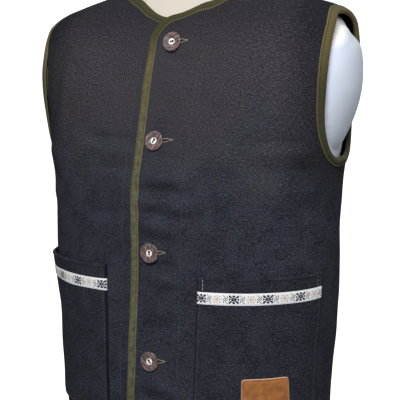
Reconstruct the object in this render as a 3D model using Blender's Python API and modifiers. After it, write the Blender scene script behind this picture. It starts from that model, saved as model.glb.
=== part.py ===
"""Folk vest of dark wool, buttoned on a limbless dress form.

Metres, +Z up, the vest's front towards -Y and the wearer's left towards +X.
Every sewn piece is a wall worked out on one torso surface. A place on that
surface is an angle round the body and a height, and a lift is a distance
outwards from it. The cloth's outer face has a lift of zero.
"""

import math

import bmesh
import bpy
import numpy as np

# Sections of the clothed body, in metres. Front and back are depths from the
# section's centre. Squareness is the power of its superellipse, towards the
# front and towards the back.
TORSO_COLUMNS = ("height", "half_width", "front", "back", "centre", "squareness", "back_squareness")
TORSO = (
    (0.000, 0.174, 0.138, 0.122, 0.000, 2.40, 2.40),
    (0.080, 0.180, 0.147, 0.126, 0.000, 2.40, 2.40),
    (0.200, 0.188, 0.139, 0.121, 0.000, 2.40, 2.40),
    (0.320, 0.197, 0.130, 0.116, 0.000, 2.40, 2.40),
    (0.420, 0.200, 0.124, 0.112, 0.000, 2.45, 2.45),
    (0.500, 0.207, 0.108, 0.112, 0.004, 2.80, 2.75),
    (0.560, 0.215, 0.094, 0.110, 0.008, 3.40, 3.00),
    (0.600, 0.217, 0.080, 0.106, 0.011, 4.00, 3.10),
    (0.632, 0.211, 0.074, 0.099, 0.015, 3.75, 3.10),
    (0.645, 0.204, 0.067, 0.094, 0.017, 3.35, 3.10),
    (0.655, 0.193, 0.059, 0.088, 0.018, 2.95, 3.00),
    (0.672, 0.146, 0.049, 0.078, 0.020, 2.50, 2.60),
    (0.688, 0.091, 0.0445, 0.068, 0.022, 2.30, 2.30),
    (0.704, 0.070, 0.044, 0.060, 0.024, 2.10, 2.10),
    (0.762, 0.063, 0.046, 0.056, 0.026, 2.00, 2.00),
)
STAND_SHIFT = (0.0, 0.0142, 0.0)

# The vest's cut.
HEM_HEIGHT = 0.080
UNDERARM_HEIGHT = 0.468
SHOULDER_HEIGHT = 0.648
NECK_SIDE_HEIGHT = 0.688
FRONT_NECK_HEIGHT = 0.6445
BACK_NECK_HEIGHT = 0.680
NECKLINE_POWER = 2.1
NECK_CORNER_RADIUS = 0.032
CORNER_PULL = 0.55
EDGE_PAST_CENTRE = 0.0228
EDGE_SWING = 0.0075
EDGE_SWING_FROM = 0.360
EDGE_SWING_POWER = 1.3
ARMHOLE_FRONT_ANGLE = math.radians(16.2)
ARMHOLE_BACK_ANGLE = math.radians(17.0)
ARMHOLE_ROUNDNESS = 0.7
WALL = 0.002
SEAM_GAP = 0.0003

# The left front laps over the right front, lifted clear of it.
LAP_LIFT = 0.0064
LAP_FULL_TO = 0.036
LAP_ENDS_AT = 0.056

# The woven binding that wraps the raw edges.
BINDING_WIDTH = 0.0105
BINDING_WALL = 0.0008
BINDING_GAP = 0.0011
BINDING_SEAM_GAP = 0.0005
FOLD_GAP = 0.0006

# Patch pockets with a star ribbon.
POCKET_TOP = 0.332
POCKET_BOTTOM = 0.135
POCKET_INNER = 0.065
POCKET_INNER_LEAN = 0.006
POCKET_RISE = {"left": 0.0, "right": 0.0045}
POCKET_OUTER_ANGLE = math.radians(-12.5)
POCKET_FIRST_COLUMN = 4
POCKET_LAST_COLUMN = 12
POCKET_WALL = 0.002
POCKET_HEM = 0.0185
POCKET_HEM_EXTRA = 0.0006
POCKET_GAP = 0.0007
RIBBON_TOP = 0.314
RIBBON_WIDTH = 0.015
RIBBON_WALL = 0.001
LAY_GAP = 0.0005

# Leather patch on the left pocket.
PATCH_TOP = 0.207
PATCH_HEIGHT = 0.042
PATCH_INNER = 0.117
PATCH_OUTER = 0.163
PATCH_WALL = 0.0016
PATCH_CORNER = 0.004

# Buttons, on the centre line.
BUTTON_COLUMNS = ("height", "across", "turn")
BUTTONS = (
    (0.613, 0.0094, 10.0),
    (0.493, 0.0015, 60.0),
    (0.358, 0.0036, 90.0),
    (0.222, 0.0046, 120.0),
)
BUTTON_RADIUS = 0.0125
BUTTON_CORE_RADIUS = 0.004
BUTTON_HOLE_RADIUS = 0.0008
BUTTON_HOLE_OFFSET = 0.0014
BUTTON_STAND_OFF = 0.0006

# Dress form.
FORM_CLEARANCE = 0.0074
FORM_WAIST_EASE = 0.002
FORM_WAIST_FROM = 0.500
FORM_WAIST_FULL = 0.360
FORM_STAND_EASE = 0.4
FORM_BARE_FADE = 0.020
FORM_CAP_BULGE = 0.018
FORM_CAP_SPREAD = 0.8
FORM_CAP_POWER = 0.8
FORM_NECK_TOP = 0.762
FORM_NECK_DOME = 0.004
FORM_SIDES = 40
# Runs of level sections: from, to and count, closest where the shoulder turns over.
FORM_RUNS = (
    (0.000, 0.440, 8),
    (0.475, 0.635, 9),
    (0.642, 0.662, 4),
    (0.669, 0.697, 6),
    (0.708, 0.762, 4),
)

# Grid of the panels. A ratio is each step over the one before it, so the
# cloth is finest at the armholes, the shoulders and the neck corners.
LOWER_ROWS = 7
UPPER_ROWS = 12
NECK_COLUMNS = 9
SHOULDER_COLUMNS = 7
BACK_NECK_COLUMNS = 10
SIDE_RATIO = 0.955
ARMHOLE_RATIO = 0.97
EDGE_RATIO = 0.86
NECK_RATIO = 1.15
SHOULDER_RATIO = 0.88
ARMHOLE_FADE = 1.3

TINY = 1e-9

WOOL = (0.032, 0.032, 0.042)
OLIVE = (0.115, 0.100, 0.038)
RIBBON = (0.62, 0.58, 0.52)
LEATHER = (0.38, 0.15, 0.05)
HORN = (0.16, 0.085, 0.07)
PEARL = (0.80, 0.78, 0.74)
FORM_CLOTH = (0.78, 0.76, 0.72)


def torso_column(name, height):
    """Read one column of the torso table at any height, by a monotone cubic."""
    rows = np.array(TORSO)
    heights = rows[:, 0]
    values = rows[:, TORSO_COLUMNS.index(name)]
    steps = np.diff(heights)
    slopes = np.diff(values) / steps
    inner = np.where(slopes[1:] * slopes[:-1] > 0.0,
                     2.0 * slopes[1:] * slopes[:-1] / (slopes[1:] + slopes[:-1] + 1e-30), 0.0)
    tangents = np.concatenate(([slopes[0]], inner, [slopes[-1]]))
    at = np.clip(np.asarray(height, dtype=float), heights[0], heights[-1])
    row = np.clip(np.searchsorted(heights, at, side="right") - 1, 0, len(steps) - 1)
    span = steps[row]
    part = (at - heights[row]) / span
    return (values[row] * (1.0 + 2.0 * part) * (1.0 - part) ** 2
            + tangents[row] * span * part * (1.0 - part) ** 2
            + values[row + 1] * part ** 2 * (3.0 - 2.0 * part)
            + tangents[row + 1] * span * part ** 2 * (part - 1.0))


def torso_point(angle, height):
    """Place a point on the torso: a superellipse section at each height."""
    cosine = np.cos(angle)
    sine = np.sin(angle)
    width = torso_column("half_width", height)
    depth = np.where(sine < 0.0, torso_column("front", height), torso_column("back", height))
    power = np.where(sine < 0.0, torso_column("squareness", height),
                     torso_column("back_squareness", height))
    reach = (np.abs(cosine / width) ** power + np.abs(sine / depth) ** power) ** (-1.0 / power)
    across = reach * cosine
    along = torso_column("centre", height) + reach * sine
    return np.stack([across, along, np.broadcast_to(height, across.shape)], axis=-1)


def torso_slopes(angle, height):
    """Give the torso's change with angle and with height, by small steps."""
    step = 1e-4
    by_angle = (torso_point(angle + step, height) - torso_point(angle - step, height)) / (2 * step)
    by_height = (torso_point(angle, height + step) - torso_point(angle, height - step)) / (2 * step)
    return by_angle, by_height


def torso_normal(angle, height):
    """Give the torso's outward unit normal."""
    by_angle, by_height = torso_slopes(angle, height)
    normal = np.cross(by_angle, by_height)
    return normal / np.linalg.norm(normal, axis=-1, keepdims=True)


def lifted(places, lift):
    """Place (angle, height) pairs on the torso and move them out by a lift."""
    angle = places[..., 0]
    height = places[..., 1]
    amount = np.asarray(lift, dtype=float)[..., None]
    return torso_point(angle, height) + amount * torso_normal(angle, height)


def front_angle(across, height):
    """Find the angle of the front point that lies across metres to the wearer's left."""
    width = torso_column("half_width", height)
    depth = torso_column("front", height)
    power = torso_column("squareness", height)
    along = depth * (1.0 - np.abs(across / width) ** power) ** (1.0 / power)
    return np.arctan2(-along, across)


def edge_across(height):
    """Give the front edge's place across the body, which swings out towards the hem."""
    down = np.clip((EDGE_SWING_FROM - height) / (EDGE_SWING_FROM - HEM_HEIGHT), 0.0, 1.0)
    return -EDGE_PAST_CENTRE - EDGE_SWING * down ** EDGE_SWING_POWER


def lap_lift(places):
    """Raise the left front where it lies over the right front, fading towards the side."""
    across = torso_point(places[..., 0], places[..., 1])[..., 0]
    part = np.clip((LAP_ENDS_AT - across) / (LAP_ENDS_AT - LAP_FULL_TO), 0.0, 1.0)
    return LAP_LIFT * part * part * (3.0 - 2.0 * part)


def flat_lift(places):
    """Leave a piece on the torso surface."""
    return np.zeros(places.shape[:-1])


def moved(places, along, inwards):
    """Move places over the surface, square to a path, by a distance in metres.

    The path's direction and the surface normal give the way inwards, and the
    surface's own slopes turn that way into steps of angle and height.
    """
    by_angle, by_height = torso_slopes(places[..., 0], places[..., 1])
    way = np.cross(torso_normal(places[..., 0], places[..., 1]), along)
    way = way / np.linalg.norm(way, axis=-1, keepdims=True)
    first = np.sum(by_angle * by_angle, axis=-1)
    mixed = np.sum(by_angle * by_height, axis=-1)
    second = np.sum(by_height * by_height, axis=-1)
    on_angle = np.sum(way * by_angle, axis=-1)
    on_height = np.sum(way * by_height, axis=-1)
    scale = first * second - mixed * mixed
    steps = np.stack([(second * on_angle - mixed * on_height) / scale,
                      (first * on_height - mixed * on_angle) / scale], axis=-1)
    return places + steps * np.asarray(inwards, dtype=float)[..., None]


def resampled(path, count, ratio=1.0):
    """Spread count + 1 places along a path, each step ratio times the one before."""
    points = torso_point(path[:, 0], path[:, 1])
    lengths = np.concatenate(([0.0], np.cumsum(np.linalg.norm(np.diff(points, axis=0), axis=1))))
    steps = np.concatenate(([0.0], np.cumsum(ratio ** np.arange(count))))
    spread = steps / steps[-1] * lengths[-1]
    return np.stack([np.interp(spread, lengths, path[:, 0]),
                     np.interp(spread, lengths, path[:, 1])], axis=-1)


def armhole_half(side_angle, count):
    """Run up one side of an armhole, from the underarm to the shoulder.

    Height follows a cosine and the angle a flattened sine, which gives a
    round bottom, a nearly straight side and a narrow top.
    """
    turn = np.linspace(0.0, math.pi, 200)
    middle = (SHOULDER_HEIGHT + UNDERARM_HEIGHT) / 2
    reach = (SHOULDER_HEIGHT - UNDERARM_HEIGHT) / 2
    heights = middle - reach * np.cos(turn)
    angles = side_angle * np.sin(turn).clip(0.0) ** ARMHOLE_ROUNDNESS
    return resampled(np.stack([angles, heights], axis=-1), count, ARMHOLE_RATIO)


def neckline_height(angle):
    """Give the neckline's height: lowest at centre front, highest at the shoulder."""
    middle = np.where(np.sin(angle) < 0.0, FRONT_NECK_HEIGHT, BACK_NECK_HEIGHT)
    return middle + (NECK_SIDE_HEIGHT - middle) * np.abs(np.cos(angle)) ** NECKLINE_POWER


def share_along(path):
    """Give each place's share of its path's length, measured on the torso."""
    points = torso_point(path[:, 0], path[:, 1])
    lengths = np.concatenate(([0.0], np.cumsum(np.linalg.norm(np.diff(points, axis=0), axis=1))))
    return lengths / lengths[-1]


def coons(bottom, top, start, end, start_fade, end_fade):
    """Fill the places between four boundary paths (a Coons patch).

    The blend upwards runs as the sides' own steps do, so fine steps stay fine
    inside. Each side's curve fades inwards by a power of the share across.
    """
    across = ((share_along(bottom) + share_along(top)) / 2)[None, :, None]
    up = ((share_along(start) + share_along(end)) / 2)[:, None, None]
    between = (1 - up) * bottom[None] + up * top[None]
    start_bend = start[:, None] - between[:, :1]
    end_bend = end[:, None] - between[:, -1:]
    return between + (1 - across) ** start_fade * start_bend + across ** end_fade * end_bend


def path_direction(points, closed):
    """Give the unit direction of a path at each of its points."""
    if closed:
        ahead = np.roll(points, -1, axis=0)
        behind = np.roll(points, 1, axis=0)
    else:
        ahead = np.concatenate([points[1:], 2 * points[-1:] - points[-2:-1]])
        behind = np.concatenate([2 * points[:1] - points[1:2], points[:-1]])
    onward = (ahead - points) / np.linalg.norm(ahead - points, axis=1, keepdims=True)
    inward = (points - behind) / np.linalg.norm(points - behind, axis=1, keepdims=True)
    total = onward + inward
    return total / np.linalg.norm(total, axis=1, keepdims=True)


def beside(path, inwards, closed=False):
    """Move a bound edge's path in over the cloth, which lies on its left seen from outside.

    Its ends slide along the seam or the hem that they stand on.
    """
    along = path_direction(torso_point(path[:, 0], path[:, 1]), closed)
    result = moved(path, along, np.full(len(path), inwards))
    on_seam = (np.abs(path[:, 0]) < TINY) | (np.abs(path[:, 0] - math.pi) < TINY)
    result[on_seam, 0] = path[on_seam, 0]
    on_hem = np.abs(path[:, 1] - HEM_HEIGHT) < TINY
    result[on_hem, 1] = HEM_HEIGHT
    return result


def border(path, closed=False):
    """Lay three lines of places under a binding: its inner rim, its middle and the edge."""
    return np.stack([beside(path, BINDING_WIDTH, closed), beside(path, BINDING_WIDTH / 2, closed),
                     path], axis=1)


def seam_row(first_height, last_height, count, ratio):
    """Spread places along a side's seam line between two heights."""
    path = np.stack([np.zeros(40), np.linspace(first_height, last_height, 40)], axis=-1)
    return resampled(path, count, ratio)


def other_side(places):
    """Reflect places from the left half of the back to the right half."""
    return np.stack([math.pi - places[..., 0], places[..., 1]], axis=-1)


def row_between(start, end, columns, ratio):
    """Spread places over a plain row between two places."""
    share = np.linspace(0.0, 1.0, 120)[:, None]
    return resampled(start * (1 - share) + end * share, columns, ratio)


def armhole_loop():
    """Run round the left armhole: up its front side and down its back side."""
    front_side = armhole_half(-ARMHOLE_FRONT_ANGLE, UPPER_ROWS)
    back_side = armhole_half(ARMHOLE_BACK_ANGLE, UPPER_ROWS)
    return np.concatenate([front_side, back_side[-2:0:-1]])


def front_edge(split):
    """Run from the shoulder along the neckline, round the neck corner and down the front edge.

    The corner is a cubic Bezier curve that leaves both lines along their tangents.
    """
    corner = FRONT_NECK_HEIGHT - NECK_CORNER_RADIUS
    lower_heights = np.linspace(HEM_HEIGHT, split, LOWER_ROWS + 1)
    upper_heights = np.linspace(split, corner, 30)
    neck_angles = np.linspace(-math.pi / 2, 0.0, 401)
    neck_heights = neckline_height(neck_angles)
    neck_across = torso_point(neck_angles, neck_heights)[:, 0]
    join = np.searchsorted(neck_across, edge_across(corner) + NECK_CORNER_RADIUS)
    start = np.array([edge_across(corner), corner])
    end = np.array([neck_across[join], neck_heights[join]])
    rise, run = np.gradient(neck_heights)[join], np.gradient(neck_across)[join]
    tip = np.array([start[0], end[1] - rise / run * (end[0] - start[0])])
    start_pull = start + CORNER_PULL * (tip - start)
    end_pull = end + CORNER_PULL * (tip - end)
    share = np.linspace(0.0, 1.0, 13)[1:, None]
    curve = ((1 - share) ** 3 * start + 3 * (1 - share) ** 2 * share * start_pull
             + 3 * (1 - share) * share ** 2 * end_pull + share ** 3 * end)
    across = np.concatenate([edge_across(upper_heights), curve[:, 0]])
    heights = np.concatenate([upper_heights, curve[:, 1]])
    angles = front_angle(across, heights)
    neck = np.stack([neck_angles, neck_heights], axis=-1)[join + 1:]
    rising = np.stack([angles, heights], axis=-1)
    middle = len(rising) - 6
    lower = np.stack([front_angle(edge_across(lower_heights), lower_heights), lower_heights], axis=-1)
    upper = resampled(rising[:middle], UPPER_ROWS, EDGE_RATIO)
    neckline = resampled(np.concatenate([rising[middle - 1:], neck]), NECK_COLUMNS, NECK_RATIO)
    return np.concatenate([lower, upper[1:], neckline[1:]])[::-1]


def lay_out():
    """Lay out the borders and grids of the left front and of the back.

    Each panel is a main grid and a strip of its own for every bound edge.
    """
    loop = armhole_loop()
    armhole = border(loop, closed=True)
    armhole_front = armhole[:UPPER_ROWS + 1]
    armhole_back = np.concatenate([armhole[UPPER_ROWS:], armhole[:1]])
    split = armhole_front[0, 0, 1]
    edge = border(front_edge(split))
    inner_edge = edge[::-1, 0]
    corner_row = LOWER_ROWS + UPPER_ROWS
    columns = NECK_COLUMNS + SHOULDER_COLUMNS
    rows = [row_between(start, np.array([0.0, height]), columns, SIDE_RATIO)
            for start, height in zip(inner_edge, np.linspace(HEM_HEIGHT, split, LOWER_ROWS + 1))]
    seam = seam_row(inner_edge[-1, 1], armhole_front[-1, 0, 1], SHOULDER_COLUMNS, SHOULDER_RATIO)
    top = np.concatenate([inner_edge[corner_row:], seam[1:]])
    upper = coons(rows[-1], top, inner_edge[LOWER_ROWS:corner_row + 1], armhole_front[:, 0],
                  1.0, ARMHOLE_FADE)
    front = [np.concatenate([np.stack(rows), upper[1:]]), edge, armhole_front]

    neck_angles = np.linspace(math.pi, 0.0, 120)
    neck_path = np.stack([neck_angles, neckline_height(neck_angles)], axis=-1)
    neck = border(resampled(neck_path, BACK_NECK_COLUMNS))
    half_columns = SHOULDER_COLUMNS + BACK_NECK_COLUMNS // 2
    rows = []
    for height in np.linspace(HEM_HEIGHT, split, LOWER_ROWS + 1):
        half = row_between(np.array([0.0, height]), np.array([math.pi / 2, height]),
                           half_columns, 1 / SIDE_RATIO)
        rows.append(np.concatenate([half, other_side(half[-2::-1])]))
    seam = seam_row(armhole_back[0, 0, 1], neck[-1, 0, 1], SHOULDER_COLUMNS, 1 / SHOULDER_RATIO)
    top = np.concatenate([seam, neck[-2:0:-1, 0], other_side(seam[::-1])])
    start = armhole_back[::-1, 0]
    upper = coons(rows[-1], top, start, other_side(start), 1.0, 1.0)
    back = [np.concatenate([np.stack(rows), upper[1:]]), neck, armhole_back, other_side(armhole_back)]
    return {"front": front, "back": back, "armhole": armhole}


def new_object(name, mesh, colour, roughness, metallic=0.0):
    """Put a mesh in the part's collection, with its own material."""
    material = bpy.data.materials.new(name)
    material.use_nodes = True
    shader = material.node_tree.nodes["Principled BSDF"]
    shader.inputs["Base Color"].default_value = (*colour, 1.0)
    shader.inputs["Roughness"].default_value = roughness
    shader.inputs["Metallic"].default_value = metallic
    mesh.materials.append(material)
    made = bpy.data.objects.new(name, mesh)
    bpy.data.collections["folk_vest"].objects.link(made)
    made.location = STAND_SHIFT
    return made


def mesh_object(name, points, quads, colour, roughness, mirror=False):
    """Make a shaded object from points and quads, or its mirror image.

    Every quad is split from its first corner, so faces that lie on each
    other are split the same way.
    """
    triangles = np.concatenate([quads[:, [0, 1, 2]], quads[:, [0, 2, 3]]])
    if mirror:
        points = points * np.array([-1.0, 1.0, 1.0])
        triangles = triangles[:, ::-1]
    mesh = bpy.data.meshes.new(name)
    mesh.from_pydata(points.tolist(), [], triangles.tolist())
    mesh.shade_smooth()
    mesh.set_sharp_from_angle(angle=math.radians(50))
    return new_object(name, mesh, colour, roughness)


def wall(name, outer, inner, colour, roughness, closed=False, mirror=False):
    """Close the space between an outer and an inner grid of points.

    Rows run along the first axis. A closed wall joins its last row to its first.
    """
    rows, columns = outer.shape[:2]
    index = np.arange(rows * columns).reshape(rows, columns)
    if closed:
        index = np.concatenate([index, index[:1]])
    under = index + rows * columns
    corners = (index[:-1, :-1], index[:-1, 1:], index[1:, 1:], index[1:, :-1])
    inner_corners = (under[:-1, :-1], under[1:, :-1], under[1:, 1:], under[:-1, 1:])
    faces = [np.stack(corners, axis=-1).reshape(-1, 4), np.stack(inner_corners, axis=-1).reshape(-1, 4)]
    rims = [(index[:-1, 0], index[1:, 0], under[1:, 0], under[:-1, 0]),
            (index[1:, -1], index[:-1, -1], under[:-1, -1], under[1:, -1])]
    if not closed:
        rims.append((index[0, :-1], under[0, :-1], under[0, 1:], index[0, 1:]))
        rims.append((index[-1, 1:], under[-1, 1:], under[-1, :-1], index[-1, :-1]))
    faces.extend(np.stack(rim, axis=-1) for rim in rims)
    quads = np.concatenate(faces)
    points = np.concatenate([outer.reshape(-1, 3), inner.reshape(-1, 3)])
    return mesh_object(name, points, quads, colour, roughness, mirror)


def parted(places, amount):
    """Move the places that stand on a seam line away from it, over their own panel."""
    result = places.copy()
    step = amount / torso_column("half_width", places[..., 1])
    on_left = np.abs(places[..., 0]) < TINY
    on_right = np.abs(places[..., 0] - math.pi) < TINY
    result[..., 0] += np.where(on_left, step, 0.0) - np.where(on_right, step, 0.0)
    return result


def panel(name, patches, lift_of, reflected=(), mirror=False):
    """Weld a panel's patches of places along their shared borders and thicken them inwards.

    The reflected patches are laid out from the body's other side, so their faces turn.
    """
    quads = []
    first = 0
    for patch in patches:
        index = first + np.arange(patch.shape[0] * patch.shape[1]).reshape(patch.shape[:2])
        corners = (index[:-1, :-1], index[:-1, 1:], index[1:, 1:], index[1:, :-1])
        turned_round = any(patch is other for other in reflected)
        order = (0, 3, 2, 1) if turned_round else (0, 1, 2, 3)
        quads.append(np.stack([corners[corner] for corner in order], axis=-1).reshape(-1, 4))
        first += index.size
    places = np.concatenate([patch.reshape(-1, 2) for patch in patches])
    _, kept, same = np.unique(np.round(places, 9), axis=0, return_index=True, return_inverse=True)
    places = places[kept]
    quads = same.reshape(-1)[np.concatenate(quads)]
    lift = lift_of(places)
    points = np.concatenate([lifted(places, lift), lifted(places, lift - WALL)])
    sides = np.concatenate([quads[:, [corner, (corner + 1) % 4]] for corner in range(4)])
    known = {tuple(side) for side in sides.tolist()}
    rim = np.array([side for side in sides.tolist() if (side[1], side[0]) not in known])
    under = len(places)
    rims = np.stack([rim[:, 1], rim[:, 0], rim[:, 0] + under, rim[:, 1] + under], axis=-1)
    faces = np.concatenate([quads, quads[:, ::-1] + under, rims])
    return mesh_object(name, points, faces, WOOL, 0.95, mirror)


def build_panels(layout):
    """Cut and place the two fronts and the back."""
    half_gap = SEAM_GAP / 2
    front = [parted(patch, -half_gap) for patch in layout["front"]]
    back = [parted(patch, half_gap) for patch in layout["back"]]
    panel("front_left", front, lap_lift)
    panel("front_right", front, flat_lift, mirror=True)
    panel("back", back, flat_lift, reflected=back[-1:])


def binding(name, strip, lift_of, closed=False, mirror=False):
    """Wrap a woven binding round a bound edge, over the three lines of its border.

    The wrap's outer and inner faces run from its rim over the cloth, round
    the edge and back under the cloth. Its fold stands just outside the edge.
    """
    over = BINDING_GAP
    under = -WALL - BINDING_GAP
    thick = BINDING_WALL
    rim, middle, edge = strip[:, 0], strip[:, 1], strip[:, 2]
    outer_fold = beside(edge, -FOLD_GAP - thick, closed)
    inner_fold = beside(edge, -FOLD_GAP, closed)
    outer_lines = ((rim, over + thick), (middle, over + thick), (edge, over + thick),
                   (outer_fold, over), (outer_fold, under),
                   (edge, under - thick), (middle, under - thick), (rim, under - thick))
    inner_lines = ((rim, over), (middle, over), (edge, over),
                   (inner_fold, over * 0.3), (inner_fold, under + over * 0.7),
                   (edge, under), (middle, under), (rim, under))
    outer = np.stack([lifted(line, lift_of(line) + lift) for line, lift in outer_lines], axis=1)
    inner = np.stack([lifted(line, lift_of(line) + lift) for line, lift in inner_lines], axis=1)
    return wall(name, outer, inner, OLIVE, 0.85, closed, mirror)


def build_bindings(layout):
    """Bind the front edges with the front neckline, the back neck and the armholes."""
    half_gap = BINDING_SEAM_GAP / 2
    edge = parted(layout["front"][1], -half_gap)
    binding("binding_front_left", edge, lap_lift)
    binding("binding_front_right", edge, flat_lift, mirror=True)
    neck = parted(layout["back"][1], half_gap)
    binding("binding_back_neck", neck, flat_lift)
    loop = layout["armhole"]
    binding("binding_armhole_left", loop, flat_lift, closed=True)
    binding("binding_armhole_right", loop, flat_lift, closed=True, mirror=True)


def pocket_inner(height):
    """Give the pocket's inner edge across the body, which leans in towards the hem."""
    down = (POCKET_TOP - height) / (POCKET_TOP - POCKET_BOTTOM)
    return POCKET_INNER - POCKET_INNER_LEAN * down


def pocket_grid(low, high, rows, rise):
    """Lay a grid over a pocket between two heights, on the front's own columns."""
    columns = NECK_COLUMNS + SHOULDER_COLUMNS
    grid = []
    for height in np.linspace(low, high, rows + 1) + rise:
        start = front_angle(edge_across(height) + BINDING_WIDTH, height)
        row = row_between(np.array([start, height]), np.array([0.0, height]), columns, SIDE_RATIO)
        sides = (front_angle(pocket_inner(height - rise), height), POCKET_OUTER_ANGLE)
        own = row[POCKET_FIRST_COLUMN:POCKET_LAST_COLUMN + 1, 0]
        line = np.concatenate([[sides[0]], own, [sides[1]]])
        grid.append(np.stack([line, np.full(len(line), height)], axis=-1))
    return np.stack(grid)


def build_pockets():
    """Sew a patch pocket with a folded hem and a woven ribbon on each front."""
    ribbon_base = POCKET_GAP + POCKET_WALL + LAY_GAP
    for side, rise in POCKET_RISE.items():
        is_right = side == "right"
        panel_lift = flat_lift if is_right else lap_lift
        body = pocket_grid(POCKET_BOTTOM, POCKET_TOP - POCKET_HEM, 6, rise)
        hem = pocket_grid(POCKET_TOP - POCKET_HEM, POCKET_TOP, 2, rise)
        pocket = np.concatenate([body, hem[1:]])
        over = np.full(pocket.shape[:-1], POCKET_GAP + POCKET_WALL)
        over[-2:] += POCKET_HEM_EXTRA
        ribbon = pocket_grid(RIBBON_TOP - RIBBON_WIDTH, RIBBON_TOP, 1, rise)
        for name, grid, low, high, colour in (
                ("pocket_" + side, pocket, POCKET_GAP, over, WOOL),
                ("ribbon_" + side, ribbon, ribbon_base, ribbon_base + RIBBON_WALL, RIBBON)):
            outer = lifted(grid, panel_lift(grid) + high)
            inner = lifted(grid, panel_lift(grid) + low)
            wall(name, outer, inner, colour, 0.9, mirror=is_right)


def build_patch():
    """Sew a bare leather patch, with rounded corners, on the left pocket."""
    base = POCKET_GAP + POCKET_WALL + LAY_GAP
    rows = np.array([0.0, PATCH_CORNER * 0.3, PATCH_CORNER, PATCH_HEIGHT / 2,
                     PATCH_HEIGHT - PATCH_CORNER, PATCH_HEIGHT - PATCH_CORNER * 0.3, PATCH_HEIGHT])
    insets = np.array([PATCH_CORNER, PATCH_CORNER * 0.3, 0.0, 0.0, 0.0, PATCH_CORNER * 0.3, PATCH_CORNER])
    grid = []
    for down, inset in zip(rows, insets):
        height = PATCH_TOP - PATCH_HEIGHT + down
        across = np.linspace(PATCH_INNER + inset, PATCH_OUTER - inset, 7)
        grid.append(np.stack([front_angle(across, height), np.full(7, height)], axis=-1))
    places = np.stack(grid)
    outer = lifted(places, lap_lift(places) + base + PATCH_WALL)
    inner = lifted(places, lap_lift(places) + base)
    wall("leather_patch", outer, inner, LEATHER, 0.5)


def turned(name, profile, steps):
    """Turn a closed profile of (radius, height) corners round the local Z axis."""
    mesh = bpy.data.meshes.new(name)
    points = [(radius, 0.0, height) for radius, height in profile]
    loop = [(i, (i + 1) % len(points)) for i in range(len(points))]
    if profile[0][0] == 0.0:
        loop = loop[:-1]
    mesh.from_pydata(points, loop, [])
    shape = bpy.data.objects.new(name, mesh)
    bpy.data.collections["folk_vest"].objects.link(shape)
    screw = shape.modifiers.new("Turn", "SCREW")
    screw.steps = steps
    screw.render_steps = steps
    screw.use_merge_vertices = True
    screw.merge_threshold = 0.00001
    bpy.context.view_layer.update()
    evaluated = shape.evaluated_get(bpy.context.evaluated_depsgraph_get())
    result = bpy.data.meshes.new_from_object(evaluated)
    result.name = name
    bpy.data.objects.remove(shape)
    work = bmesh.new()
    work.from_mesh(result)
    bmesh.ops.remove_doubles(work, verts=work.verts, dist=0.00001)
    bmesh.ops.recalc_face_normals(work, faces=work.faces)
    work.to_mesh(result)
    work.free()
    result.shade_smooth()
    result.set_sharp_from_angle(angle=math.radians(40))
    return result


def button_meshes():
    """Turn the horn rim and its pale two-hole core."""
    ring = turned("button_rim", (
        (BUTTON_CORE_RADIUS + SEAM_GAP, 0.0022), (0.0069, 0.0020), (0.0096, 0.0026), (0.0109, 0.0034),
        (BUTTON_RADIUS, 0.0026), (0.0117, 0.0007), (0.0094, 0.0),
        (BUTTON_CORE_RADIUS + SEAM_GAP, 0.0)), 20)
    core = turned("button_core", (
        (0.0, 0.0024), (0.0034, 0.0026), (BUTTON_CORE_RADIUS, 0.0022),
        (BUTTON_CORE_RADIUS, 0.0001), (0.0, 0.0001)), 12)
    return ring, core


def drilled(name, mesh):
    """Drill the two thread holes through a core."""
    blank = bpy.data.objects.new(name, mesh)
    bpy.data.collections["folk_vest"].objects.link(blank)
    for side in (-1, 1):
        bpy.ops.mesh.primitive_cylinder_add(
            vertices=6, radius=BUTTON_HOLE_RADIUS, depth=0.012,
            location=(side * BUTTON_HOLE_OFFSET, 0.0, 0.001))
        drill = bpy.context.active_object
        cut = blank.modifiers.new("Hole", "BOOLEAN")
        cut.object = drill
        bpy.context.view_layer.update()
        evaluated = blank.evaluated_get(bpy.context.evaluated_depsgraph_get())
        blank.modifiers.clear()
        blank.data = bpy.data.meshes.new_from_object(evaluated)
        bpy.data.objects.remove(drill)
    result = blank.data
    bpy.data.objects.remove(blank)
    return result


def build_buttons():
    """Sew the four buttons on the centre line, each with its own turn."""
    ring, core = button_meshes()
    core = drilled("core", core)
    for number, (height, across, turn) in enumerate(BUTTONS, start=1):
        place = np.array([front_angle(across, height), height])
        normal = torso_normal(place[0], place[1])
        seat = lifted(place, LAP_LIFT + BUTTON_STAND_OFF)
        lean = math.atan2(normal[2], -normal[1])
        swing = math.atan2(normal[0], -normal[1])
        for name, mesh, colour, roughness in (("button_%d" % number, ring, HORN, 0.35),
                                              ("button_core_%d" % number, core, PEARL, 0.3)):
            made = new_object(name, mesh.copy(), colour, roughness)
            made.rotation_mode = "XYZ"
            made.rotation_euler = (math.pi / 2 - lean, 0.0, swing)
            made.rotation_euler.rotate_axis("Z", math.radians(turn))
            made.location = [seat[i] + STAND_SHIFT[i] for i in range(3)]


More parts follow.
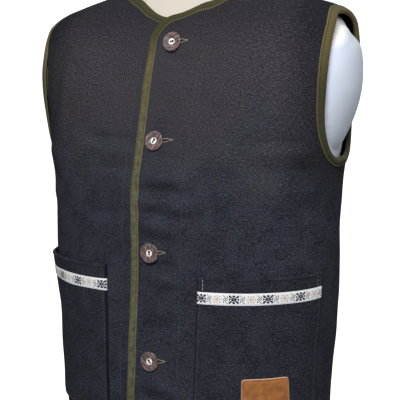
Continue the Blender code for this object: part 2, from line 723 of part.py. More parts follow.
def form_lift(angle, height):
    """Keep the form inside the vest, slimmer below and fuller inside the armholes.

    Each cap is a dome over an ellipse that fits the armhole. Below the hem,
    where no cloth hangs, the form is nearly as wide as the cloth.
    """
    below = np.clip((FORM_WAIST_FROM - height) / (FORM_WAIST_FROM - FORM_WAIST_FULL), 0.0, 1.0)
    bare = np.clip((HEM_HEIGHT - height) / FORM_BARE_FADE, 0.0, 1.0)
    ease = FORM_WAIST_EASE * below * below * (3.0 - 2.0 * below) * (1.0 - bare * (1.0 - FORM_STAND_EASE))
    middle = (SHOULDER_HEIGHT + UNDERARM_HEIGHT) / 2
    reach = (SHOULDER_HEIGHT - UNDERARM_HEIGHT) / 2
    side = np.arctan2(np.sin(angle), np.abs(np.cos(angle)))
    limit = np.where(side < 0.0, ARMHOLE_FRONT_ANGLE, ARMHOLE_BACK_ANGLE)
    far = ((height - middle) / reach) ** 2 + (side / limit) ** 2
    cap = np.clip(1.0 - far / FORM_CAP_SPREAD, 0.0, 1.0)
    return -FORM_CLEARANCE - ease + FORM_CAP_BULGE * cap ** FORM_CAP_POWER


def build_form():
    """Loft the dress form through its sections, flat below and slightly domed above the neck."""
    heights = np.concatenate([np.linspace(low, high, count) for low, high, count in FORM_RUNS])
    turn = np.linspace(0.0, 2 * math.pi, FORM_SIDES, endpoint=False)
    angle, height = np.meshgrid(turn, heights)
    places = np.stack([angle, height], axis=-1)
    points = lifted(places, form_lift(angle, height))
    points[0, :, 2] = 0.0
    index = np.arange(angle.size).reshape(angle.shape)
    onward = np.roll(index, -1, axis=1)
    sides = np.stack([index[:-1], onward[:-1], onward[1:], index[1:]], axis=-1).reshape(-1, 4)
    top = points[-1].mean(axis=0) + np.array([0.0, 0.0, FORM_NECK_DOME])
    summit = angle.size
    faces = sides.tolist()
    faces.extend([first, second, summit] for first, second in zip(index[-1].tolist(), onward[-1].tolist()))
    faces.append(index[0, ::-1].tolist())
    mesh = bpy.data.meshes.new("dress_form")
    mesh.from_pydata(np.vstack([points.reshape(-1, 3), top]).tolist(), [], faces)
    mesh.shade_smooth()
    mesh.set_sharp_from_angle(angle=math.radians(50))
    new_object("dress_form", mesh, FORM_CLOTH, 0.8)


def main():
    """Clear the scene and build every piece."""
    for old in list(bpy.data.objects):
        bpy.data.objects.remove(old)
    collection = bpy.data.collections.new("folk_vest")
    bpy.context.scene.collection.children.link(collection)
    layout = lay_out()
    build_form()
    build_panels(layout)
    build_bindings(layout)
    build_pockets()
    build_patch()
    build_buttons()


if __name__ == "__main__":
    main()
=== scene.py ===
"""Finished look of a dark wool folk vest on a limbless dress form.

Metres, +Z up, the vest's front towards -Y and the wearer's left towards +X.
Every sewn piece is a grid of points worked out on one torso surface. A place
on that surface is an angle round the body and a height, and a lift is a
distance outwards from it. The cloth's outer face has a lift of zero, plus
its creases and the lap of the left front.
"""

import math

import bpy
import numpy as np
from bpy.props import (BoolProperty, FloatProperty, FloatVectorProperty, IntProperty,
                       PointerProperty)
from mathutils import Matrix, Vector


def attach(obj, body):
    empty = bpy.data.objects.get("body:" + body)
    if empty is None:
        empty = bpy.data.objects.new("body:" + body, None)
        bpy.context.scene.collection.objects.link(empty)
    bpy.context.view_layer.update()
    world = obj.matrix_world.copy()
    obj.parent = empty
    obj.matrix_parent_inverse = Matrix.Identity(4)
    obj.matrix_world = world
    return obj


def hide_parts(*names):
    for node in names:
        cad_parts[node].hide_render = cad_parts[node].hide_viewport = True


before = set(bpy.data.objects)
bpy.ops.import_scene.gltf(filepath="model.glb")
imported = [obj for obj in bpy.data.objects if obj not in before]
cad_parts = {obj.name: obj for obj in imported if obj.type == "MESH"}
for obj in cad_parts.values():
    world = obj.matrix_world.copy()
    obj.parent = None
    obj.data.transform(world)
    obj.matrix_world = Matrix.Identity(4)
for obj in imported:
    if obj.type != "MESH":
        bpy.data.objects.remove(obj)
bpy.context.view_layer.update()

bl_info = {
    "name": "Folk Vest on a Dress Form",
    "version": (1, 0, 0),
    "blender": (4, 5, 0),
    "location": "3D View > Sidebar > Folk Vest",
    "description": "Builds a buttoned wool folk vest with star ribbons, on a dress form",
    "category": "Add Mesh",
}

# --- Sizes shared with the solids ---

# Sections of the clothed body. Front and back are depths from the section's
# centre. Squareness is the power of its superellipse.
TORSO_COLUMNS = ("height", "half_width", "front", "back", "centre", "squareness",
                 "back_squareness")
TORSO = np.array((
    (0.000, 0.174, 0.138, 0.122, 0.000, 2.40, 2.40),
    (0.080, 0.180, 0.147, 0.126, 0.000, 2.40, 2.40),
    (0.200, 0.188, 0.139, 0.121, 0.000, 2.40, 2.40),
    (0.320, 0.197, 0.130, 0.116, 0.000, 2.40, 2.40),
    (0.420, 0.200, 0.124, 0.112, 0.000, 2.45, 2.45),
    (0.500, 0.207, 0.108, 0.112, 0.004, 2.80, 2.75),
    (0.560, 0.215, 0.094, 0.110, 0.008, 3.40, 3.00),
    (0.600, 0.217, 0.080, 0.106, 0.011, 4.00, 3.10),
    (0.632, 0.211, 0.074, 0.099, 0.015, 3.75, 3.10),
    (0.645, 0.204, 0.067, 0.094, 0.017, 3.35, 3.10),
    (0.655, 0.193, 0.059, 0.088, 0.018, 2.95, 3.00),
    (0.672, 0.146, 0.049, 0.078, 0.020, 2.50, 2.60),
    (0.688, 0.091, 0.0445, 0.068, 0.022, 2.30, 2.30),
    (0.704, 0.070, 0.044, 0.060, 0.024, 2.10, 2.10),
    (0.762, 0.063, 0.046, 0.056, 0.026, 2.00, 2.00),
))
STAND_SHIFT = np.array([0.0, 0.0142, 0.0])

HEM_HEIGHT = 0.080
UNDERARM_HEIGHT = 0.468
SHOULDER_HEIGHT = 0.648
NECK_SIDE_HEIGHT = 0.688
FRONT_NECK_HEIGHT = 0.6445
BACK_NECK_HEIGHT = 0.680
NECKLINE_POWER = 2.1
NECK_CORNER_RADIUS = 0.032
CORNER_PULL = 0.55
EDGE_PAST_CENTRE = 0.0228
EDGE_SWING = 0.0075
EDGE_SWING_FROM = 0.360
EDGE_SWING_POWER = 1.3
ARMHOLE_FRONT_ANGLE = math.radians(16.2)
ARMHOLE_BACK_ANGLE = math.radians(17.0)
ARMHOLE_ROUNDNESS = 0.7
WALL = 0.002
SEAM_GAP = 0.0003
LAP_LIFT = 0.0064
LAP_FULL_TO = 0.036
LAP_ENDS_AT = 0.056
BINDING_WIDTH = 0.0105
BINDING_SEAM_GAP = 0.0005

POCKET_TOP = 0.332
POCKET_BOTTOM = 0.135
POCKET_INNER = 0.065
POCKET_INNER_LEAN = 0.006
POCKET_RISE = {"left": 0.0, "right": 0.0045}
POCKET_OUTER_ANGLE = math.radians(-12.5)
POCKET_WALL = 0.002
POCKET_HEM = 0.0185
POCKET_GAP = 0.0007
RIBBON_TOP = 0.314
RIBBON_WIDTH = 0.015

PATCH_TOP = 0.207
PATCH_HEIGHT = 0.042
PATCH_INNER = 0.117
PATCH_OUTER = 0.163
PATCH_WALL = 0.0016

# Buttons, top to bottom: height, place across, and the thread holes' turn in degrees.
BUTTONS = (
    (0.613, 0.0094, 10.0),
    (0.493, 0.0015, 60.0),
    (0.358, 0.0036, 90.0),
    (0.222, 0.0046, 120.0),
)
# How far each buttonhole runs from its button's middle, top to bottom.
BUTTONHOLE_REACH = (0.0205, 0.0250, 0.0210, 0.0200)
BUTTON_RADIUS = 0.0125
BUTTON_CORE_RADIUS = 0.004
BUTTON_HOLE_RADIUS = 0.0009
BUTTON_HOLE_OFFSET = 0.0015
BUTTON_STAND_OFF = 0.0006

FORM_CLEARANCE = 0.0074
FORM_WAIST_EASE = 0.002
FORM_WAIST_FROM = 0.500
FORM_WAIST_FULL = 0.360
FORM_STAND_EASE = 0.4
FORM_BARE_FADE = 0.020
FORM_CAP_BULGE = 0.018
FORM_SHOULDER_EASE = 0.005
FORM_CAP_SPREAD = 0.8
FORM_CAP_POWER = 0.8
FORM_NECK_TOP = 0.762
FORM_NECK_DOME = 0.004
FORM_TURNS = 260

# The soft folds over each arm cap: the height and slant of their two lines, and
# the height, the distance from the line and the half width of each fold.
CAP_FOLD_HEIGHT = 0.597
CAP_FOLD_SLANT = 0.42
CAP_RIDGE = (0.0016, 0.010, 0.013)
CAP_TROUGH = (-0.0008, -0.006, 0.007)
CAP_LOW_TROUGH = (-0.0006, 0.0, 0.012)
CAP_LOW_HEIGHT = 0.530
CAP_LOW_SLANT = 1.1

# --- Sizes of the finish ---

# Steps of the cloth's grids. A spread is the last step over the first.
LOWER_ROWS = 120
UPPER_ROWS = 84
NECK_COLUMNS = 60
SHOULDER_COLUMNS = 56
BACK_NECK_COLUMNS = 44
SIDE_SPREAD = 0.48
ARMHOLE_SPREAD = 0.70
EDGE_SPREAD = 0.16
NECK_SPREAD = 3.5
SHOULDER_SPREAD = 0.41
ARMHOLE_FADE = 1.3
TINY = 1e-9

# Creases, listed in millimetres: where each starts across the body and by
# height, where it ends, the sideways bow of its middle, half its width, and its
# depth, which is a ridge above zero and a trough below it. Across is positive
# towards the wearer's left.
CREASES = {
    # Pulled short between the buttons, then the chest and the side.
    "left": (
        (-16, 475, 52, 470, 2, 5, -1),
        (-20, 455, 70, 448, -3, 8, 2.2),
        (-22, 434, 62, 430, 2, 6, -1.7),
        (-20, 421, 40, 419, 1, 4.5, 0.8),
        (-22, 410, 72, 402, -2, 7, -1.7),
        (-20, 392, 60, 388, 2, 7, 1.8),
        (-14, 377, 44, 372, 1, 5, -1),
        (-12, 343, 50, 340, 2, 6, -1.2),
        (-14, 330, 74, 322, -2, 7, 1.3),
        (-20, 266, 50, 260, 2, 11, -1),
        (-16, 196, 62, 188, -2, 9, 1.2),
        (-16, 176, 56, 170, 2, 9, -1.1),
        (-10, 596, 46, 586, 2, 8, -1.1),
        (-12, 570, 58, 556, -2, 12, 1),
        (158, 628, 176, 490, 6, 17, -3.4),
        (110, 630, 128, 500, -6, 26, 2.2),
        (190, 492, 92, 496, 3, 7.5, -1.4),
        (196, 478, 100, 479, -3, 7.5, 1.6),
        (198, 456, 112, 464, 2, 10, -1.5),
        (196, 425, 130, 433, -3, 12, 1.1),
        (104, 435, 90, 350, 4, 16, -1),
        (186, 440, 180, 340, -4, 14, -1.8),
        (120, 550, 60, 460, 6, 20, 1),
        (166, 130, 150, 82, 2, 16, 1.8),
        (104, 140, 98, 82, -2, 18, -1.6),
        (58, 170, 52, 82, 3, 15, 1.2),
    ),
    # Pulled short between the buttons, then the chest and the side.
    "right": (
        (-20, 496, -120, 501, 3, 7, -1.6),
        (-16, 480, -130, 482, -3, 8, 2.4),
        (-22, 463, -90, 460, 2, 6.5, -1.7),
        (-24, 440, -80, 433, -2, 10, 1),
        (-24, 408, -104, 401, 2, 10, -1.2),
        (-22, 590, -84, 560, 4, 12, -1.3),
        (-156, 628, -172, 498, -6, 17, -3),
        (-108, 620, -120, 520, 5, 24, 1.8),
        (-190, 480, -128, 464, -3, 10, 1.5),
        (-194, 446, -138, 427, 3, 11, -1.4),
        (-180, 420, -168, 346, 4, 15, -1.6),
        (-52, 380, -50, 290, 3, 10, -0.9),
        (-150, 131, -138, 82, -3, 17, 1.7),
        (-86, 136, -80, 82, 2, 16, -1.4),
    ),
    # Hanging from the shoulder blades and taken in at the waist.
    "back": (
        (120, 605, 86, 470, 10, 22, 2.6),
        (-126, 598, -80, 462, -12, 24, 2.4),
        (150, 620, 166, 495, -6, 16, -3),
        (-150, 620, -164, 490, 6, 17, -3.2),
        (10, 645, -4, 490, 5, 26, -2),
        (-150, 412, 40, 402, 8, 11, -2.2),
        (158, 392, -20, 384, -7, 10, -1.9),
        (-120, 370, 96, 362, 6, 12, 1.6),
        (60, 450, 168, 438, 5, 10, 1.7),
        (-60, 438, -170, 446, -4, 12, 1.5),
        (64, 330, 78, 81, -10, 22, 2.6),
        (-34, 310, -46, 81, 8, 24, -2.4),
        (-112, 290, -124, 81, -6, 20, 2.3),
        (136, 260, 144, 81, 6, 20, -2.2),
    ),
}

# How much deeper the creases lie than their table says.
CREASE_DEPTH = 2.0
# The bell's width on a crease's upper and lower sides, over half the width.
CREASE_SIDES = (0.8, 1.25)
# The share of a crease's length over which each of its ends fades.
CREASE_FADES = (0.28, 0.40)

# Slow unevenness of worn cloth: the length of each wave along X, Y and Z, its
# phase and its depth.
WAVES = (
    ((0.170, 0.310, 0.260), 0.4, 0.0006),
    ((-0.120, 0.240, 0.190), 1.9, 0.0005),
    ((0.075, -0.160, -0.090), 3.1, 0.0003),
    ((0.052, 0.130, 0.064), 5.0, 0.00018),
)

# How deep and how wide the cloth is pressed at its seams, at the facings'
# stitches and under the buttons.
SEAM_PRESS = (0.0007, 0.0020)
FACING_PRESS = (0.0009, 0.0022)
BUTTON_PRESS = (0.0010, 0.013)

# The facings' inner edges: across the body at the hem and at their tops.
FACING_LINES = {"left": (0.0383, 0.0485), "right": (0.0449, 0.0368)}
FACING_TOP = 0.600
HEM_STITCH_RISE = 0.018

# Stitches: the pitch, the thread's share of it, and the thread's radius.
TOPSTITCH = (0.0030, 0.62, 0.00042)
HEM_STITCH = (0.0032, 0.62, 0.00042)
SHOULDER_STITCH = (0.0032, 0.60, 0.00034)
BINDING_STITCH = (0.0028, 0.60, 0.00032)
MOUTH_STITCH = (0.0050, 0.94, 0.00042)
MOUTH_STITCH_FINE = (0.0050, 0.55, 0.00024)
SHOULDER_STITCH_OFFSET = 0.0045
BINDING_STITCH_INWARDS = 0.0081
BINDING_STITCH_HEIGHT = 0.0010

# A pocket's grid, and how many of its cells the stitches stand in from its edges.
POCKET_ROWS = 110
POCKET_COLUMNS = 84
POCKET_STITCH_INSET = 2

# A pocket's width, rounded edge, sewn channel, hem, bulging mouth, rolled top and
# sag. A ridge or groove is its height, its distance from its line and its width.
POCKET_ACROSS = 0.125
POCKET_ROUND = 0.0026
POCKET_CHANNEL = (0.0007, 0.0042, 0.0016)
POCKET_HEM_RISE = 0.0007
POCKET_HEM_SLOPE = 0.0016
POCKET_MOUTH_BULGE = 0.0046
POCKET_ROLL = (0.0007, 0.0016, 0.0014)
POCKET_SAG = 0.0012
# The share of painted shade over the pockets' wool.
POCKET_SHADE = 0.22

# How far the finish stands off the solids' places, and its thin walls.
FINISH_GAP = 0.0002
FINISH_SWELL = 0.0004
RIBBON_HEIGHT = 0.0009
RIBBON_SELVEDGE_DROP = 0.0005
RIBBON_THICKNESS = 0.0008

# The patch's grid, the power of its squared outline, its rounded rim, its seam
# and its pale raw edge.
PATCH_RINGS = 30
PATCH_TURNS = 160
PATCH_SQUARENESS = 0.16
PATCH_GAP = 0.0003
PATCH_ROUND = 0.0012
PATCH_SEAM = (0.0005, 0.0030, 0.0009)
PATCH_EDGE_WIDTH = 0.0022

# A button's grid, the height of its core's dome and the depth of its thread holes.
BUTTON_TURNS = 72
BUTTON_CORE_TOP = 0.0026
BUTTON_CORE_RINGS = 33
BUTTON_CORE_BASE = 0.0001
BUTTON_HOLE_DEPTH = 0.0013
BUTTON_SEAT_SHARE = 0.6
HORN_STEP = 0.031

# Buttonholes: their start past the button's middle, their rise to the tip, the
# lips' spread, radius and ripple, the bar at the tip, and how high each part is.
HOLE_STEPS = 60
HOLE_START = 0.0015
HOLE_RISE = 0.0020
HOLE_SPREAD = 0.0024
HOLE_LIP = (0.00078, 0.00012)
HOLE_LIP_HEIGHT = 0.0003
HOLE_BAR_HALF = 0.0011
HOLE_BAR_RADIUS = 0.0006
HOLE_BAR_HEIGHT = 0.0005
# The lifts of the dark sheet of painted shade in each slit.
HOLE_SLIT = (0.0002, -0.0004)

# Woven star ribbon, given as charts. One sign is one float of thread.
RIBBON_ROWS = 13
RIBBON_REPEAT = 36
RIBBON_CELL = 0.00111
STAR = (
    "##..###..##",
    "###.###.###",
    ".###.#.###.",
    "#..#####..#",
    "#####o#####",
    "#..#####..#",
    ".###.#.###.",
    "###.###.###",
    "##..###..##",
)
SNOWFLAKE = (
    ".....p.....",
    "..k..p..k..",
    "...p.p.p...",
    "p...ppp...p",
    ".pppppppppp",
    "p...ppp...p",
    "...p.p.p...",
    "..k..p..k..",
    ".....p.....",
)
CROSS = (
    "m....",
    ".m..m",
    "..m.m",
    ".m.m.",
    "m.k.m",
    ".m.m.",
    "m.m..",
    "m..m.",
    "....m",
)
RIBBON_THREADS = {
    ".": (0.92, 0.92, 0.93),
    "#": (0.003, 0.006, 0.032),
    "o": (0.42, 0.47, 0.60),
    "p": (0.66, 0.53, 0.45),
    "k": (0.020, 0.012, 0.016),
    "m": (0.10, 0.075, 0.09),
}
RIBBON_LOWEST_ROW_TINT = (0.86, 0.92, 1.02)

# Colours of painted shade and painted highlights, and of real fibres, pores,
# holes, thread, clouds and wear, which a user has no need to change.
# Painted shade on the wool at the shoulders, by the armholes and over the pockets.
PAINTED_SHADE_WOOL = (0.014, 0.0135, 0.018)
DARK_FIBRE = (0.005, 0.005, 0.008)
# Painted shadow line along the pockets' edges.
PAINTED_EDGE_SHADOW = (0.003, 0.003, 0.004)
# Painted shade in the braid's sewn groove.
SEWN_GROOVE_SHADE = (0.016, 0.014, 0.006)
# Painted shade between the braid's ribs.
BRAID_GROOVE_SHADE = (0.022, 0.020, 0.009)
# Real wear on the ribbon, and painted shade between its threads.
RIBBON_WEAR_AND_GAP_SHADE = (0.10, 0.08, 0.08)
LEATHER_PORE = (0.12, 0.04, 0.012)
SHELL_CLOUD = (0.74, 0.72, 0.69)
THREAD_HOLE = (0.012, 0.010, 0.012)
# Painted highlight on the tops of the form's arm caps.
CAP_TOP_HIGHLIGHT = (0.93, 0.90, 0.86)
FLOOR_CLOUD = (0.88, 0.88, 0.90)
BUTTONHOLE_THREAD = (0.260, 0.245, 0.185)
# A dark sheet of painted shade in each buttonhole's slit.
BUTTONHOLE_SHADE = (0.004, 0.004, 0.005)

BRAID_RIB = 0.0022
BRAID_ZIGZAG = 0.0030
KNIT_PITCH = 0.0014

# Lights: the name, the place, the point that each faces and the side of its square.
LIGHTS = (
    ("key", (0.60, -1.75, 1.85), (0.0, 0.0, 0.50), 1.0),
    ("fill", (2.1, 0.5, 0.9), (0.05, 0.0, 0.45), 1.6),
    ("back", (1.3, 1.4, 1.7), (0.0, 0.0, 0.50), 1.6),
)

# The camera, in a square frame.
CAMERA_PLACE = (0.57868, -1.13156, 0.60571)
CAMERA_AZIMUTH = 26.51
CAMERA_ELEVATION = 8.925
CAMERA_ROLL = -1.18
CAMERA_LENS = 86.588
CAMERA_SENSOR = 36.0


# --- The torso surface ---

def torso_column(name, height):
    """Read one column of the torso table at any height, by a monotone cubic."""
    heights = TORSO[:, 0]
    values = TORSO[:, TORSO_COLUMNS.index(name)]
    steps = np.diff(heights)
    slopes = np.diff(values) / steps
    inner = np.where(slopes[1:] * slopes[:-1] > 0.0,
                     2.0 * slopes[1:] * slopes[:-1] / (slopes[1:] + slopes[:-1] + 1e-30), 0.0)
    tangents = np.concatenate(([slopes[0]], inner, [slopes[-1]]))
    at = np.clip(np.asarray(height, dtype=float), heights[0], heights[-1])
    row = np.clip(np.searchsorted(heights, at, side="right") - 1, 0, len(steps) - 1)
    span = steps[row]
    part = (at - heights[row]) / span
    return (values[row] * (1.0 + 2.0 * part) * (1.0 - part) ** 2
            + tangents[row] * span * part * (1.0 - part) ** 2
            + values[row + 1] * part ** 2 * (3.0 - 2.0 * part)
            + tangents[row + 1] * span * part ** 2 * (part - 1.0))


def torso_point(angle, height):
    """Place a point on the torso: a superellipse section at each height."""
    cosine = np.cos(angle)
    sine = np.sin(angle)
    width = torso_column("half_width", height)
    depth = np.where(sine < 0.0, torso_column("front", height), torso_column("back", height))
    power = np.where(sine < 0.0, torso_column("squareness", height),
                     torso_column("back_squareness", height))
    reach = (np.abs(cosine / width) ** power + np.abs(sine / depth) ** power) ** (-1.0 / power)
    across = reach * cosine
    along = torso_column("centre", height) + reach * sine
    return np.stack([across, along, np.broadcast_to(height, across.shape)], axis=-1)


def torso_slopes(angle, height):
    """Give the torso's change with angle and with height, by small steps."""
    step = 1e-4
    by_angle = torso_point(angle + step, height) - torso_point(angle - step, height)
    by_height = torso_point(angle, height + step) - torso_point(angle, height - step)
    return by_angle / (2 * step), by_height / (2 * step)


def torso_normal(angle, height):
    """Give the torso's outward unit normal: the slopes' cross product."""
    by_angle, by_height = torso_slopes(angle, height)
    normal = np.cross(by_angle, by_height)
    return normal / np.linalg.norm(normal, axis=-1, keepdims=True)


def lifted(places, lift):
    """Place (angle, height) pairs on the standing torso, moved out along the normal by a lift."""
    angle, height = places[..., 0], places[..., 1]
    amount = np.asarray(lift, dtype=float)[..., None]
    return torso_point(angle, height) + amount * torso_normal(angle, height) + STAND_SHIFT


def surface_angle(across, height, behind=False):
    """Find the angle of the front or back point that lies across metres to the wearer's left."""
    width = torso_column("half_width", height)
    depth = torso_column("back" if behind else "front", height)
    power = torso_column("back_squareness" if behind else "squareness", height)
    inside = np.clip(np.abs(across / width), 0.0, 0.9999) ** power
    along = depth * (1.0 - inside) ** (1.0 / power)
    return np.arctan2(along if behind else -along, across)


def placed(across, height, behind=False):
    """Give the (angle, height) places that lie across metres to the wearer's left."""
    return np.stack([surface_angle(across, height, behind), height], axis=-1)


def edge_across(height):
    """Give the front edge's place across the body, which swings out towards the hem."""
    down = np.clip((EDGE_SWING_FROM - height) / (EDGE_SWING_FROM - HEM_HEIGHT), 0.0, 1.0)
    return -EDGE_PAST_CENTRE - EDGE_SWING * down ** EDGE_SWING_POWER


def eased(share):
    """Ease a share from 0 to 1 with level ends (a smoothstep)."""
    share = np.clip(share, 0.0, 1.0)
    return share * share * (3.0 - 2.0 * share)


def bell(distance, width):
    """Fall from 1 at a line to 0 away from it: a Gaussian bell."""
    return np.exp(-(distance / width) ** 2)


def rounded_off(inset, radius):
    """Rise from 0 at an edge to 1 at a radius inside it, as a quarter circle does."""
    return np.sqrt(1.0 - (1.0 - np.clip(inset / radius, 0.0, 1.0)) ** 2)


def full_turn(count):
    """Give the angles of a whole turn in equal steps."""
    return np.linspace(0.0, 2.0 * math.pi, count, endpoint=False)


def lap_lift(places):
    """Raise the left front where it lies over the right front, fading towards the side."""
    across = torso_point(places[..., 0], places[..., 1])[..., 0]
    return LAP_LIFT * eased((LAP_ENDS_AT - across) / (LAP_ENDS_AT - LAP_FULL_TO))


def crease_lift(points, normals, piece):
    """Sum a piece's creases.

    Each is a bell across its own bowed line, narrower on its upper side, that
    fades at both ends and on cloth that faces another way.
    """
    total = np.zeros(points.shape[:-1])
    for crease in np.array(CREASES[piece]) / 1000.0:
        from_across, from_height, to_across, to_height, bow, width, depth = crease
        line = placed(np.linspace(from_across, to_across, 3),
                      np.linspace(from_height, to_height, 3), behind=piece == "back")
        start, _, end = torso_point(line[:, 0], line[:, 1])
        outward = torso_normal(line[1:2, 0], line[1:2, 1])[0]
        span = end - start
        length = np.linalg.norm(span)
        sideways = np.cross(outward, span / length)
        from_start = points - start
        share = np.sum(from_start * span, axis=-1) / length ** 2
        offset = np.sum(from_start * sideways, axis=-1) - bow * 4.0 * share * (1.0 - share)
        upright = sideways[2] if abs(sideways[2]) > 0.3 else sideways[0]
        above = np.sign(upright) * offset > 0.0
        ends = eased(share / CREASE_FADES[0]) * eased((1.0 - share) / CREASE_FADES[1])
        facing = eased((np.sum(normals * outward, axis=-1) - 0.1) / 0.5)
        across_line = bell(offset, width * np.where(above, *CREASE_SIDES))
        total += CREASE_DEPTH * depth * across_line * ends * facing
    return total


def cloth_lift(places, piece):
    """Give the lift of a panel's outer face: lap, creases, slow waves and pressed seams."""
    angle, height = places[..., 0], places[..., 1]
    flip = np.array([-1.0 if piece == "right" else 1.0, 1.0, 1.0])
    points = torso_point(angle, height) * flip
    lift = crease_lift(points, torso_normal(angle, height) * flip, piece)
    for lengths, phase, depth in WAVES:
        turns = np.sum(points / lengths, axis=-1)
        lift += depth * np.sin(2.0 * math.pi * turns + phase)
    from_seam = np.minimum(np.abs(angle), np.abs(math.pi - angle))
    lift -= pressed(from_seam * torso_column("half_width", height), SEAM_PRESS)
    if piece in FACING_LINES:
        from_stitches = np.abs(points[..., 0]) - facing_across(height, piece)
        lift -= pressed(from_stitches, FACING_PRESS) * (height < FACING_TOP)
    if piece == "left":
        lift += lap_lift(places)
        for button_height, across, _ in BUTTONS:
            from_button = np.hypot(points[..., 0] - across, height - button_height)
            lift -= pressed(from_button, BUTTON_PRESS)
    return lift


def pressed(distance, press):
    """Give how deep the cloth is pressed at a distance from a seam or a button."""
    depth, width = press
    return depth * bell(distance, width)


def facing_across(height, piece):
    """Give how far from the centre line a front's facing ends, by height."""
    low, high = FACING_LINES[piece]
    return low + (high - low) * (height - HEM_HEIGHT) / (FACING_TOP - HEM_HEIGHT)


# --- Paths and grids of places ---

def moved(places, along, inwards):
    """Move places over the surface, square to a path, by a distance in metres.

    The path's direction and the surface normal give the way inwards, and the
    surface's own slopes turn that way into steps of angle and height.
    """
    by_angle, by_height = torso_slopes(places[..., 0], places[..., 1])
    way = np.cross(torso_normal(places[..., 0], places[..., 1]), along)
    way = way / np.linalg.norm(way, axis=-1, keepdims=True)
    first = np.sum(by_angle * by_angle, axis=-1)
    mixed = np.sum(by_angle * by_height, axis=-1)
    second = np.sum(by_height * by_height, axis=-1)
    on_angle = np.sum(way * by_angle, axis=-1)
    on_height = np.sum(way * by_height, axis=-1)
    scale = first * second - mixed * mixed
    steps = np.stack([(second * on_angle - mixed * on_height) / scale,
                      (first * on_height - mixed * on_angle) / scale], axis=-1)
    return places + steps * np.asarray(inwards, dtype=float)[..., None]


def running_length(points):
    """Give the length of a line of points up to each of them."""
    steps = np.linalg.norm(np.diff(points, axis=0), axis=-1)
    return np.concatenate(([0.0], np.cumsum(steps)))


def lengths_along(path):
    """Give the length of a path of places up to each of them, measured on the torso."""
    return running_length(torso_point(path[:, 0], path[:, 1]))


def places_at(path, lengths, at):
    """Read the places that stand at some lengths along a path."""
    return np.stack([np.interp(at, lengths, path[:, axis]) for axis in (0, 1)], axis=-1)


def resampled(path, count, spread=1.0):
    """Spread count + 1 places along a path, the last step spread times the first."""
    lengths = lengths_along(path)
    ratio = spread ** (1.0 / max(count - 1, 1))
    steps = np.concatenate(([0.0], np.cumsum(ratio ** np.arange(count))))
    return places_at(path, lengths, steps / steps[-1] * lengths[-1])


def share_along(path):
    """Give each place's share of its path's length."""
    lengths = lengths_along(path)
    return lengths / lengths[-1]


def armhole_half(side_angle):
    """Run up one side of an armhole: height by a cosine, angle by a flattened sine."""
    turn = np.linspace(0.0, math.pi, 900)
    middle = (SHOULDER_HEIGHT + UNDERARM_HEIGHT) / 2
    reach = (SHOULDER_HEIGHT - UNDERARM_HEIGHT) / 2
    heights = middle - reach * np.cos(turn)
    angles = side_angle * np.sin(turn).clip(0.0) ** ARMHOLE_ROUNDNESS
    return resampled(np.stack([angles, heights], axis=-1), UPPER_ROWS, ARMHOLE_SPREAD)


def neckline_height(angle):
    """Give the neckline's height: lowest at centre front, highest at the shoulder."""
    middle = np.where(np.sin(angle) < 0.0, FRONT_NECK_HEIGHT, BACK_NECK_HEIGHT)
    return middle + (NECK_SIDE_HEIGHT - middle) * np.abs(np.cos(angle)) ** NECKLINE_POWER


def coons(bottom, top, start, end, start_fade, end_fade):
    """Fill the places between four boundary paths (a Coons patch).

    Each side's curve fades inwards by a power of the share across.
    """
    across = ((share_along(bottom) + share_along(top)) / 2)[None, :, None]
    up = ((share_along(start) + share_along(end)) / 2)[:, None, None]
    between = (1 - up) * bottom[None] + up * top[None]
    start_bend = start[:, None] - between[:, :1]
    end_bend = end[:, None] - between[:, -1:]
    return between + (1 - across) ** start_fade * start_bend + across ** end_fade * end_bend


def path_direction(points, closed):
    """Give the unit direction of a path at each of its points, between its two steps."""
    if closed:
        ahead = np.roll(points, -1, axis=0)
        behind = np.roll(points, 1, axis=0)
    else:
        ahead = np.concatenate([points[1:], 2 * points[-1:] - points[-2:-1]])
        behind = np.concatenate([2 * points[:1] - points[1:2], points[:-1]])
    return unit(unit(ahead - points) + unit(points - behind))


def unit(vectors):
    """Scale vectors to a length of one."""
    return vectors / np.linalg.norm(vectors, axis=-1, keepdims=True)


def beside(path, inwards, closed=False):
    """Move a bound edge's path in over the cloth, which lies on its left seen from outside.

    Its ends slide along the seam or the hem that they stand on.
    """
    along = path_direction(torso_point(path[:, 0], path[:, 1]), closed)
    result = moved(path, along, np.full(len(path), inwards))
    on_seam = (np.abs(path[:, 0]) < TINY) | (np.abs(path[:, 0] - math.pi) < TINY)
    result[on_seam, 0] = path[on_seam, 0]
    on_hem = np.abs(path[:, 1] - HEM_HEIGHT) < TINY
    result[on_hem, 1] = HEM_HEIGHT
    return result


def border(path, closed=False):
    """Lay lines of places under a binding, from its inner rim to the edge."""
    return np.stack([beside(path, BINDING_WIDTH * share, closed) if share else path
                     for share in (1.0, 0.75, 0.5, 0.25, 0.0)], axis=1)


def other_side(places):
    """Reflect places from the left half of the back to the right half."""
    return np.stack([math.pi - places[..., 0], places[..., 1]], axis=-1)


def row_between(start, end, columns, spread=1.0):
    """Spread places over a plain row between two places."""
    share = np.linspace(0.0, 1.0, 240)[:, None]
    row = np.asarray(start) * (1 - share) + np.asarray(end) * share
    return resampled(row, columns, spread)


def armhole_loop():
    """Run round the left armhole: up its front side and down its back side."""
    back_side = armhole_half(ARMHOLE_BACK_ANGLE)
    return np.concatenate([armhole_half(-ARMHOLE_FRONT_ANGLE), back_side[-2:0:-1]])


def neck_corner(join_across, join_height, slope):
    """Round the neck corner by a cubic Bezier curve that leaves both edges along their slopes."""
    corner = FRONT_NECK_HEIGHT - NECK_CORNER_RADIUS
    start = np.array([edge_across(corner), corner])
    end = np.array([join_across, join_height])
    tip = np.array([start[0], end[1] - slope * (end[0] - start[0])])
    start_pull = start + CORNER_PULL * (tip - start)
    end_pull = end + CORNER_PULL * (tip - end)
    share = np.linspace(0.0, 1.0, 61)[1:, None]
    return ((1 - share) ** 3 * start + 3 * (1 - share) ** 2 * share * start_pull
            + 3 * (1 - share) * share ** 2 * end_pull + share ** 3 * end)


